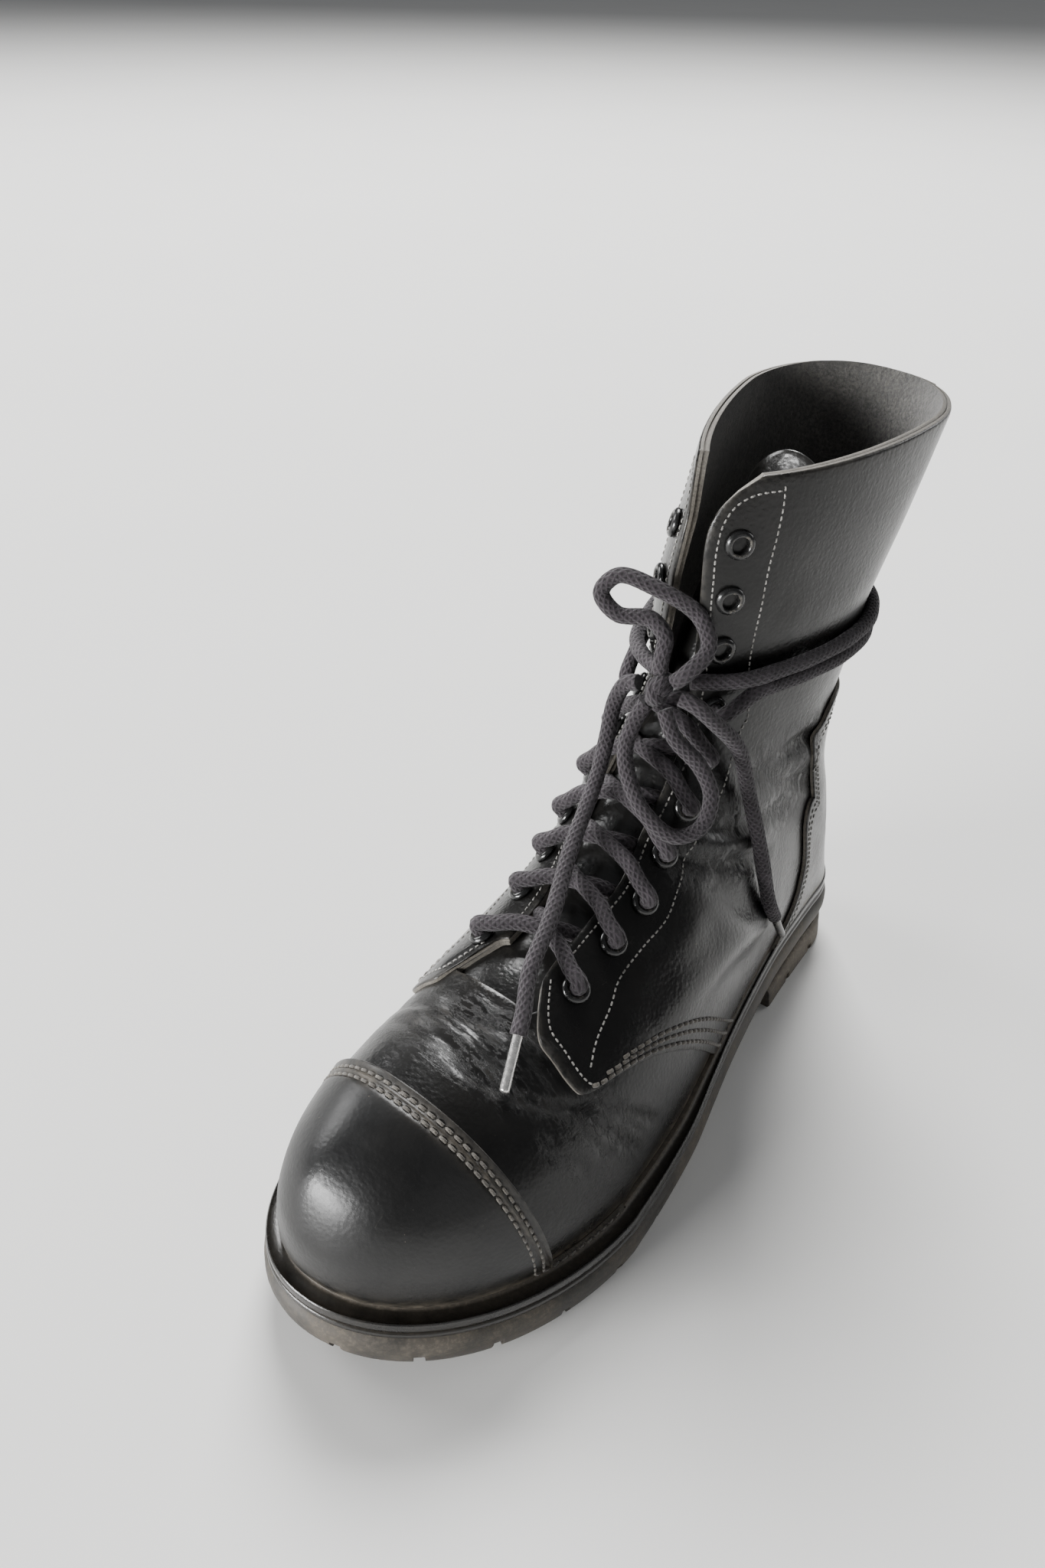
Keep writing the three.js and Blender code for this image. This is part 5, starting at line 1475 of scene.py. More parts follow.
@dataclass
class HeelCounter:
    """Second layer of leather round the heel, with its double row of stitches."""

    cutter: SheetCutter
    stitcher: Stitcher
    finishes: Finishes
    rows: int = 64
    columns: int = 56

    def build(self) -> None:
        """Makes both halves and their stitches."""
        stitches: list[np.ndarray] = []
        for side in Side:
            front, top = self._lines(side)
            stations, arounds = self._grid(front, top)
            finishes = self.finishes
            piece = self.cutter.cut(f"counter_{side.word}", stations,
                                    side.value * np.clip(arounds, 0, 1),
                                    Layer.OVERLAY_OUT, Layer.OVERLAY_IN,
                                    [finishes.leather, finishes.edge, finishes.edge],
                                    free=(False, True, True, False), creasing=0.6)
            enlist(piece, "leather", "counter")
            for inset in (0.022, 0.042):
                path_s = np.concatenate([stations[3:-3, 0], stations[-1, :] - 0.004])
                path_v = np.concatenate([arounds[3:-3, 0], arounds[-1, :]])
                path_s = path_s - np.where(np.arange(path_s.size) < self.rows, 0, inset * 0.4)
                path_v = np.minimum(path_v + np.where(np.arange(path_v.size) < self.rows,
                                                      inset, 0), 1)
                stitches += self.stitcher.row(path_s, side.value * path_v,
                                              Layer.OVERLAY_OUT, 2.6 * MM, 0.6 * MM)
        self.stitcher.sew("counter_stitches", stitches, "leather", self.finishes.pale_thread)

    def _lines(self, side: Side) -> tuple[np.ndarray, np.ndarray]:
        """Front and top edges as stations and shares around, both positive."""
        form = self.cutter.form
        lines = []
        guess = (0.58, side.value * 0.95)
        for outline in (COUNTER_FRONT, COUNTER_TOP):
            places = []
            for forward, up in outline:
                target = np.array([-forward * form.heel_width, up * form.shaft_height])
                limits = (0.02, 1.0) if side is Side.LATERAL else (-1.0, -0.02)
                found = form.locate(target, (1, 2), guess, limits)
                guess = (float(found[0]), float(found[1]))
                places.append([found[0], abs(found[1])])
            lines.append(np.array(places))
        return lines[0], lines[1]

    def _grid(self, front: np.ndarray, top: np.ndarray) -> tuple[np.ndarray, np.ndarray]:
        """Places between the front edge, the top edge and the back seam.

        Args:
            front: Front edge from the sole up.
            top: Top edge from its front corner back.

        Returns:
            Stations and shares around.
        """
        form = self.cutter.form
        up = with_edges(self.rows, 0.10)
        across = with_edges(self.columns, 0.07)
        seat_s = float(form.station_at(lambda p: p[..., 1] + 0.70 * form.heel_width,
                                       np.array([1.0]), 0.45, 0.70)[0])
        front = np.concatenate([[[seat_s, 1.0]], front])
        back_top = float(form.station_at(lambda p: p[..., 2] - 0.585 * form.shaft_height,
                                         np.array([1.0]), 0.75, 1.0)[0])
        top = np.concatenate([top, [[back_top, 1.0]]])

        def line(points: np.ndarray, at: np.ndarray) -> np.ndarray:
            """Smooth line through places, read by share."""
            keys = np.linspace(0, 1, len(points))
            rows = np.column_stack([keys, points])
            return np.stack([smooth_curve(rows, 1, at), smooth_curve(rows, 2, at)], axis=-1)
        left = line(front, up)
        head = line(top, across)
        foot = np.stack([seat_s + (form.heel_station - seat_s) * across,
                         np.ones(across.size)], axis=-1)
        right = np.stack([form.heel_station + (back_top - form.heel_station) * up,
                          np.ones(up.size)], axis=-1)
        a = up[:, None, None]
        b = across[None, :, None]
        patch = ((1 - b) * left[:, None] + b * right[:, None]
                 + (1 - a) * foot[None, :] + a * head[None, :]
                 - (1 - a) * (1 - b) * left[0] - (1 - a) * b * right[0]
                 - a * (1 - b) * left[-1] - a * b * right[-1])
        return patch[..., 0], patch[..., 1]


@dataclass
class BackTab:
    """Strip of leather over the top of the back seam."""

    cutter: SheetCutter
    stitcher: Stitcher
    finishes: Finishes
    width: float = 44 * MM
    bottom: float = 192 * MM
    stitch_inset: float = 2.4 * MM
    rows: int = 30
    columns: int = 34

    def _places(self, across: np.ndarray, up: np.ndarray) -> tuple[np.ndarray, np.ndarray]:
        """Stations and shares around of places on the tab.

        Args:
            across: From -1 at its medial edge to 1 at its lateral edge.
            up: From 0 at its bottom to 1 at the collar.

        Returns:
            Stations, and shares around past 1 on the medial side.
        """
        form = self.cutter.form
        across, up = np.broadcast_arrays(across, up)
        stations = np.full(across.shape, 0.97)
        shares = np.ones(across.shape)
        for _ in range(12):
            half = across * self.width / 2
            near = np.zeros(across.shape) + 0.55
            far = np.ones(across.shape)
            sign = np.where(half >= 0, 1, -1)
            for _ in range(18):
                middle = (near + far) / 2
                outside = np.abs(form.point(stations, sign * middle)[..., 0]) > np.abs(half)
                near = np.where(outside, middle, near)
                far = np.where(outside, far, middle)
            shares = sign * near
            low = form.station_at(lambda p: p[..., 2] - self.bottom, shares, 0.9, 1.0)
            stations = low + (1 - low) * up
        return stations, shares

    def build(self) -> None:
        """Makes the tab and its stitches."""
        up = with_edges(self.rows, 0.046)[:, None]
        stitches: list[np.ndarray] = []
        finishes = self.finishes
        for side in Side:
            across = side.value * (1 - with_edges(self.columns // 2, 0.022))[None, :]
            stations, shares = self._places(across, up)
            shares = np.where(np.abs(across) < 1e-6, side.value, shares)
            piece = self.cutter.cut(f"back_tab_{side.word}", stations, shares,
                                    Layer.OVERLAY_OUT, Layer.OVERLAY_IN,
                                    [finishes.leather, finishes.edge, finishes.edge],
                                    free=(True, True, True, False), creasing=0.0)
            enlist(piece, "leather", "back_tab")
            edge = side.value * (1 - self.stitch_inset / (self.width / 2))
            for seam in ((np.array(edge), np.linspace(0.07, 0.97, 40)),
                         (edge * np.linspace(0.03, 1, 40), np.full(40, 0.07))):
                line_s, line_v = self._places(*seam)
                stitches += self.stitcher.row(line_s, line_v, Layer.OVERLAY_OUT, 2.4 * MM,
                                              0.6 * MM)
        self.stitcher.sew("back_tab_stitches", stitches, "leather", finishes.pale_thread)


@dataclass
class Tongue:
    """Soft tongue under the laces, slouched back at its top, where it lies as an arch.

    Softening and turning are the share up the tongue where each starts, and how long it takes.
    """

    cutter: SheetCutter
    finishes: Finishes
    slouch: float = 72 * MM
    bottom: float = 0.30
    corner: float = 0.045
    soft_from: tuple[float, float] = (0.60, 0.25)
    softening: int = 120
    turn_from: tuple[float, float] = (0.72, 0.26)
    padding: float = 0.45
    ripple: tuple[float, float] = (0.35, 95)
    arch_reach: tuple[float, float] = (-6 * MM, 30 * MM)
    arch_depth: float = -45 * MM
    arch_foot: float = 221 * MM
    arch_rise: float = 15.5 * MM
    arch_power: float = 0.60
    down: tuple[float, float, float] = (-15 * MM, -95 * MM, -190 * MM)

    def build(self) -> None:
        """Makes the tongue."""
        form = self.cutter.form
        across = with_edges(54, 0.06)
        up = with_edges(150, 0.20)
        spread = 2 * across - 1
        top = 1 - self.corner * np.abs(spread) ** 2.6
        stations = self.bottom + up[:, None] * (top - self.bottom)[None, :]
        lateral = smooth_curve(TONGUE_ROWS, 1, stations)
        medial = smooth_curve(TONGUE_ROWS, 2, stations)
        arounds = -medial + (lateral + medial) * across
        base = form.point(stations, arounds)
        outward = form.normal(stations, arounds)
        base[..., 1] += self.slouch * smooth_curve(TONGUE_ROWS, 3, stations)
        start, span = self.soft_from
        soft = smooth_step((stations[:, 1:-1] - start) / span)[..., None]
        for _ in range(self.softening):
            mean = (base[:, :-2] + 2 * base[:, 1:-1] + base[:, 2:]) / 4
            base[:, 1:-1] += soft * (mean - base[:, 1:-1])
        height = np.sin(np.pi * across) ** self.arch_power
        arch = np.column_stack([np.interp(across, (0, 1), self.arch_reach),
                                self.arch_depth - 3 * MM * height,
                                self.arch_foot + self.arch_rise * height])
        lying = arch[None] + (1 - up)[:, None, None] * np.array(self.down)
        start, span = self.turn_from
        turned = smooth_step((up - start) / span)[:, None, None]
        base += turned * (lying - base)
        normal = unit(np.cross(np.gradient(base, axis=0), np.gradient(base, axis=1)))
        normal = normal * np.sign((normal * outward).sum(axis=-1, keepdims=True))
        ripple = self.ripple[0] * np.sin(stations * self.ripple[1]) * (1 - spread ** 2)
        thick = self.cutter.roll(stations.shape, (True, True, True, True))
        puff = (self.padding + ripple) * MM * (1 - thick)
        face = base + normal * (Layer.TONGUE_OUT + puff - 0.9 * MM * thick)[..., None]
        back = base + normal * (Layer.TONGUE_IN + 0.5 * MM * thick)[..., None]
        finishes = self.finishes
        piece = self.cutter.close("tongue_leather", face, back,
                                  [finishes.tongue, finishes.edge, finishes.suede],
                                  (True, True, True, True), np.zeros(stations.shape), 0.3)
        enlist(piece, "tongue_leather", "tongue")


@dataclass
class Eyelets:
    """Twenty rolled eyelets in the facings."""

    form: FootForm
    finishes: Finishes
    inset: float = 10.5 * MM
    bore: float = 2.6 * MM
    barrel: float = 3.1 * MM
    flange: float = 4.8 * MM
    height: float = 1.3 * MM
    seat: float = 0.8 * MM
    segments: int = 40

    def share(self, station: float, side: Side) -> float:
        """Share around of an eyelet's centre, with the side's sign."""
        edge = float(Quarters.facing(np.array(station), side))
        return side.value * (edge + self.inset / self.form.girth(station, side))

    def build(self) -> None:
        """Makes every eyelet."""
        profile = np.array([
            [self.bore, -4.4 * MM], [self.bore, -0.4 * MM], [self.bore + 0.05 * MM, 0.7 * MM],
            [self.bore + 0.35 * MM, 1.15 * MM], [self.bore + 0.9 * MM, self.height],
            [self.flange - 0.7 * MM, 0.95 * MM], [self.flange - 0.15 * MM, 0.45 * MM],
            [self.flange, -0.1 * MM], [self.flange - 0.2 * MM, -0.7 * MM],
            [self.barrel, -0.75 * MM], [self.barrel, -4.4 * MM],
        ])
        rub = np.array([0, 0.1, 0.7, 1.0, 0.9, 0.45, 0.5, 0.3, 0, 0, 0])
        angles = 2 * math.pi * np.arange(self.segments) / self.segments
        faces = tube_faces(len(profile), self.segments, closed=True)
        for row, station in enumerate(EYELET_STATIONS):
            for side in Side:
                share = self.share(station, side)
                centre = self.form.offset(station, share, Layer.QUARTER + 0.75 * MM)
                normal = self.form.normal(station, share)
                first = unit(np.cross(normal, np.array([0.3, 0.2, 1.0])))
                second = np.cross(normal, first)
                points = (centre + profile[:, None, :1] * spokes(angles, first, second)[None]
                          + profile[:, None, 1:] * normal).reshape(-1, 3)
                name = f"eyelet_ring_{side.word}_{row + 1}"
                values = {"rubbed": np.repeat(rub, self.segments)}
                piece = add_mesh(name, points, faces, [self.finishes.enamel], values=values,
                                 sharp=70)
                enlist(piece, "eyelet_metal", f"eyelet_{side.word}_{row + 1}")


# The bow's routes in metres, the same places as the part's cords

KNOT_CENTRE = (0.004, -0.099, 0.169)
UPPER_LOOP = (
    (0.0092, -0.099, 0.1736), (0.0125, -0.0975, 0.1775), (0.015, -0.090, 0.184),
    (0.009, -0.087, 0.192), (-0.005, -0.093, 0.200), (-0.016, -0.097, 0.202),
    (-0.020, -0.100, 0.196), (-0.014, -0.099, 0.190), (-0.004, -0.095, 0.190),
    (0.0025, -0.096, 0.186), (0.0035, -0.0985, 0.181), (0.0034, -0.099, 0.1752),
)
LOWER_LOOP = (
    (0.0012, -0.1018, 0.1642), (-0.0005, -0.105, 0.158), (0.0, -0.110, 0.150),
    (0.006, -0.115, 0.142), (0.015, -0.118, 0.135), (0.024, -0.115, 0.129),
    (0.029, -0.107, 0.130), (0.028, -0.100, 0.138), (0.022, -0.099, 0.147),
    (0.013, -0.102, 0.156), (0.0076, -0.1007, 0.1638),
)
LEFT_END = (
    (-0.0039, -0.099, 0.1688), (-0.008, -0.0995, 0.167), (-0.011, -0.101, 0.160),
    (-0.010, -0.106, 0.148), (-0.008, -0.113, 0.138), (-0.005, -0.124, 0.130),
    (-0.001, -0.137, 0.123), (0.007, -0.157, 0.113), (0.012, -0.174, 0.105),
    (0.017, -0.183, 0.098), (0.019, -0.188, 0.094),
)
RIGHT_END = (
    (0.0119, -0.0988, 0.1688), (0.0165, -0.0975, 0.1675), (0.022, -0.093, 0.161),
    (0.027, -0.084, 0.149), (0.030, -0.076, 0.127), (0.036, -0.073, 0.105),
    (0.041, -0.068, 0.079), (0.0415, -0.061, 0.067),
)


@dataclass
class Lacing:
    """Round lace: crossings, turns round the ankle, bow, ends and tips."""

    form: FootForm
    eyelets: Eyelets
    finishes: Finishes
    diameter: float = 5.4 * MM
    ring: int = 32
    step: float = 0.66 * MM
    clearance: float = 0.5 * MM
    wrap_drop: float = 1.8 * MM
    eyelet_share: float = 0.16
    laced_rows: int = 7
    tip_length: float = 18 * MM
    tip_diameter: float = 3.2 * MM

    @staticmethod
    def curve(route: np.ndarray, step: float) -> np.ndarray:
        """Smooth line through a route's points.

        Args:
            route: Points to pass through.
            step: Distance between the points of the line.

        Returns:
            Evenly spaced points.
        """
        ends = [2 * route[0] - route[1], *route, 2 * route[-1] - route[-2]]
        dense = []
        for p0, p1, p2, p3 in zip(ends, ends[1:], ends[2:], ends[3:]):
            gaps = [max(np.linalg.norm(b - a) ** 0.5, 1e-4)
                    for a, b in ((p0, p1), (p1, p2), (p2, p3))]
            tangent1 = ((p1 - p0) / gaps[0] - (p2 - p0) / (gaps[0] + gaps[1])
                        + (p2 - p1) / gaps[1]) * gaps[1]
            tangent2 = ((p2 - p1) / gaps[1] - (p3 - p1) / (gaps[1] + gaps[2])
                        + (p3 - p2) / gaps[2]) * gaps[1]
            for t in np.linspace(0, 1, 24, endpoint=False):
                dense.append((2 * t ** 3 - 3 * t ** 2 + 1) * p1
                             + (t ** 3 - 2 * t ** 2 + t) * tangent1
                             + (3 * t ** 2 - 2 * t ** 3) * p2 + (t ** 3 - t ** 2) * tangent2)
        dense.append(route[-1])
        line = np.array(dense)
        lengths = lengths_along(line)
        count = max(int(lengths[-1] / step), 8)
        return read_line(np.linspace(0, lengths[-1], count + 1), lengths, line)

    def tube(self, name: str, lines: Sequence[np.ndarray], diameter: float,
             material: bpy.types.Material) -> bpy.types.Object:
        """Round braid along one or more lines, whose face rises and falls with the strands.

        Args:
            name: Name of the piece.
            lines: Evenly spaced points of each strand.
            diameter: Thickness.
            material: Finish.

        Returns:
            The piece, with its braid map.
        """
        points: list[np.ndarray] = []
        faces: list[list[int]] = []
        braid_map: list[np.ndarray] = []
        turn = 2 * math.pi * np.arange(self.ring) / self.ring
        low = np.arange(self.ring) / self.ring
        high = low + 1 / self.ring
        for line in lines:
            faces += tube_faces(len(line), self.ring, self.ring * len(points))
            tangents = unit(np.gradient(line, axis=0))
            normal = unit(np.cross(tangents[0], np.array([0.31, 0.17, 0.93])))
            travelled = lengths_along(line)
            phase = travelled[:, None] / LaceFinish.pitch * 2 * math.pi
            wave = np.maximum(np.sin(LaceFinish.strands * turn + phase),
                              np.sin(LaceFinish.strands * turn - phase))
            slow = 0.02 * np.sin(travelled * 310) + 0.02 * np.sin(travelled * 97)
            radii = diameter / 2 * (0.97 + 0.03 * wave + slow[:, None])
            for centre, tangent, radius in zip(line, tangents, radii):
                normal = unit(normal - tangent * (normal @ tangent))
                other = np.cross(tangent, normal)
                points.append(centre + radius[:, None] * spokes(turn, normal, other))
            corners = [np.stack(np.broadcast_arrays(along[:, None], share), axis=-1)
                       for along, share in ((travelled[:-1], low), (travelled[:-1], high),
                                            (travelled[1:], high), (travelled[1:], low))]
            braid_map += [np.stack(corners, axis=2).reshape(-1, 2), np.zeros((2 * self.ring, 2))]
        mesh = bpy.data.meshes.new(name)
        mesh.from_pydata(np.concatenate(points).tolist(), [], faces)
        mesh.materials.append(material)
        layer = mesh.uv_layers.new(name="braid")
        layer.data.foreach_set("uv", np.concatenate(braid_map).astype(np.float32).ravel())
        mesh.shade_smooth()
        mesh.set_sharp_from_angle(angle=math.radians(60))
        return place_object(name, mesh)

    def build(self) -> None:
        """Makes the whole lace."""
        for row in range(self.laced_rows - 1):
            self._crossing(row)
        self._turns()
        self._bow()

    def _crossing(self, row: int) -> None:
        """The two strands from one pair of eyelets to the next."""
        station = EYELET_STATIONS[row]
        following = EYELET_STATIONS[row + 1]
        radius = self.diameter / 2
        over_facing = Layer.QUARTER + radius + self.clearance
        in_gap = Layer.LINING + radius + self.clearance
        over_eyelet = over_facing + 2.6 * MM
        lines = []
        for side in Side:
            other = Side.MEDIAL if side is Side.LATERAL else Side.LATERAL
            sign = side.value

            def at(share: float) -> float:
                """Station at a share of the way to the next eyelet."""
                return station + (following - station) * share

            def edge(share: float, which: Side) -> float:
                """Facing's edge on one side, with its sign."""
                return which.value * float(Quarters.facing(np.array(at(share)), which))
            hole = self.eyelets.share(station, side)
            clear = (radius + self.clearance) / self.form.girth(station, side)
            lift = 0.0 if side is Side.LATERAL else -0.7 * MM
            route = np.array([
                self.form.offset(station, hole, -4.2 * MM),
                self.form.offset(station, hole, 0.0),
                self.form.offset(at(0.02), hole - sign * 0.004, over_eyelet - 1.2 * MM),
                self.form.offset(at(0.12), (hole + edge(0.12, side)) / 2, over_facing + 1.0 * MM),
                self.form.offset(at(0.30), edge(0.30, side), over_facing + 0.3 * MM),
                self.form.offset(at(0.50), (edge(0.5, side) + edge(0.5, other)) / 2,
                                 (over_facing + in_gap) / 2 + 0.6 * MM + lift),
                self.form.offset(at(0.66), edge(0.66, other) + sign * (clear + 0.012),
                                 in_gap + 0.1 * MM + lift),
                self.form.offset(at(0.80), edge(0.80, other) - sign * 0.012, -4.2 * MM),
                self.form.offset(at(0.90), edge(0.90, other) - sign * 0.035, -6.3 * MM),
            ])
            lines.append(self.curve(route, self.step))
        piece = self.tube(f"crossing_{row + 1}", lines, self.diameter, self.finishes.lace)
        enlist(piece, "lace", f"lace_cross_{row + 1}")

    def _turns(self) -> None:
        """The two turns round the ankle."""
        offset = Layer.QUARTER + self.diameter / 2 + self.clearance + 0.3 * MM
        over_eyelet = self.eyelets.seat + self.eyelets.height
        laced = slice(self.laced_rows - 1, self.laced_rows + 1)
        middle = np.mean([self.form.point(station, self.eyelets.share(station, Side.LATERAL))[2]
                          for station in EYELET_STATIONS[laced]]) - self.wrap_drop
        plans = (("upper", 1, (0.022, 0.08, 0.16, 0.27, 0.4, 0.54, 0.68, 0.82, 0.93)),
                 ("lower", -1, (0.19, 0.27, 0.4, 0.54, 0.68, 0.82, 0.93)))
        for word, turn, shares in plans:
            height = middle + turn * (self.diameter + self.clearance) / 2
            around = np.array([*shares, 1.0, *(-s for s in reversed(shares))])
            stations = self.form.station_at(lambda p: p[..., 2] - height, around, 0.5, 1.0)
            beside = np.abs(np.abs(around) - self.eyelet_share) / self.eyelet_share
            rise = np.maximum(0, 1 - beside) * over_eyelet
            route = self.form.offset(stations, around, offset - 0.35 * MM + 0.8 * rise)
            if turn < 0:
                station = EYELET_STATIONS[self.laced_rows - 1]
                ends = []
                for side in Side:
                    share = self.eyelets.share(station, side)
                    ends.append([self.form.offset(station, share, depth)
                                 for depth in (-4.2 * MM, 0.0, offset + over_eyelet)])
                route = np.array([*ends[0], *route, *ends[1][::-1]])
            piece = self.tube(f"ankle_turn_{word}", [self.curve(route, self.step)],
                              self.diameter, self.finishes.lace)
            enlist(piece, "lace", f"lace_wrap_{word}")

    def _bow(self) -> None:
        """Knot, loops, ends and tips."""
        finishes = self.finishes
        centre = np.array(KNOT_CENTRE)
        knot = self.tube("bow_knot", self._knot_lines(centre), 0.9 * self.diameter,
                         finishes.lace)
        enlist(knot, "lace", "lace_knot")
        tips = {}
        for word, route in (("left", LEFT_END), ("right", RIGHT_END)):
            tips[word] = self._tip(word, np.array(route))
        cords = (("loop_upper", UPPER_LOOP, "object", [knot]),
                 ("loop_lower", LOWER_LOOP, "object", []),
                 ("end_left", LEFT_END, "fitting", [tips["left"]]),
                 ("end_right", RIGHT_END, "fitting", [tips["right"]]))
        for word, route, far_end, partners in cords:
            line = self.curve(np.array(route), self.step)
            piece = self.tube(f"bow_{word}", [line], self.diameter, finishes.lace)
            enlist(piece, "lace", f"lace_{word}")

    def _knot_lines(self, centre: np.ndarray) -> list[np.ndarray]:
        """Three short strands wrapped over each other."""
        lines = []
        for tilt, reach, lift, sweep in ((0.35, 4.4, 0.0, 5.2), (-0.75, 3.9, 0.9, 4.2),
                                         (1.35, 3.4, -0.4, 3.9)):
            angle = np.linspace(-sweep / 2, sweep / 2, 9)
            across = math.cos(tilt)
            route = []
            for k, a in enumerate(angle):
                local = np.array([
                    reach * 0.55 * math.sin(a) * math.sin(tilt) + 2.2 * (k / 8 - 0.5) * across,
                    -reach * 0.62 * math.cos(a) - lift,
                    reach * math.sin(a) * math.cos(tilt) + 1.8 * (k / 8 - 0.5) * math.sin(tilt),
                ])
                route.append(centre + local * MM)
            lines.append(self.curve(np.array(route), self.step))
        return lines

    def _tip(self, word: str, route: np.ndarray) -> bpy.types.Object:
        """Metal tip at the end of one cord."""
        along = unit(route[-1] - route[-2])
        start = route[-1] - 0.6 * MM * along
        line = np.array([start + along * t for t in np.linspace(0, self.tip_length, 48)])
        side = unit(np.cross(along, np.array([0.2, 0.9, 0.4])))
        other = np.cross(along, side)
        turn = 2 * math.pi * np.arange(16) / 16
        radii = np.full(len(line), self.tip_diameter / 2)
        radii[[0, -2, -1]] *= (1.06, 0.84, 0.5)
        points = line[:, None] + radii[:, None, None] * spokes(turn, side, other)
        values = {"rubbed": np.ones(points.shape[:2])}
        material = self.finishes.steel if word == "left" else self.finishes.enamel
        piece = add_mesh(f"lace_tip_{word}", points.reshape(-1, 3), tube_faces(len(line), 16),
                         [material], values=values, sharp=70)
        return enlist(piece, "aglet_metal", f"aglet_{word}")


# Sole

@dataclass
class SolePlan:
    """Outline of the foot seen from above, with its outward directions."""

    form: FootForm
    lines: dict[Side, np.ndarray] = field(init=False)
    outward: dict[Side, np.ndarray] = field(init=False)
    lengths: dict[Side, np.ndarray] = field(init=False)

    def __post_init__(self) -> None:
        """Reads the feather line from toe to heel on both sides."""
        self.lines, self.outward, self.lengths = {}, {}, {}
        for side in Side:
            toe = self.form.point(0.0, side.value * np.linspace(0, 1, 160))
            flank = self.form.point(np.linspace(0, self.form.heel_station, 400)[1:],
                                    float(side.value))
            line = np.concatenate([toe, flank])[:, :2]
            lengths = lengths_along(line)
            even = np.linspace(0, lengths[-1], 320)
            line = read_line(even, lengths, line)
            padded = np.concatenate([line[1:4][::-1] * [-1, 1] + [2 * line[0, 0], 0], line,
                                     line[-4:-1][::-1] * [-1, 1] + [2 * line[-1, 0], 0]])
            tangent = unit(padded[6:] - padded[:-6])
            direction = np.stack([tangent[:, 1], -tangent[:, 0]], axis=1) * side.value
            direction[0] = (0, -1)
            direction[-1] = (0, 1)
            self.lines[side] = line
            self.outward[side] = direction
            self.lengths[side] = even

    def ring(self, side: Side, at: np.ndarray,
             profile: Callable[[np.ndarray, np.ndarray], np.ndarray]) -> np.ndarray:
        """Points of a side profile at lengths along the outline.

        Args:
            side: Which half of the outline.
            at: Lengths from the toe.
            profile: Gives out and up for each length and y, as (n, corners, 2).

        Returns:
            Points as (n, corners, 3).
        """
        lengths = self.lengths[side]
        base = read_line(at, lengths, self.lines[side])
        direction = unit(read_line(at, lengths, self.outward[side]))
        out = profile(at, base[:, 1])[..., 0]
        plan = base[:, None] + direction[:, None] * out[..., None]
        up = profile(at, plan[..., 1].mean(axis=1))[..., 1]
        return np.concatenate([plan, up[..., None]], axis=-1)


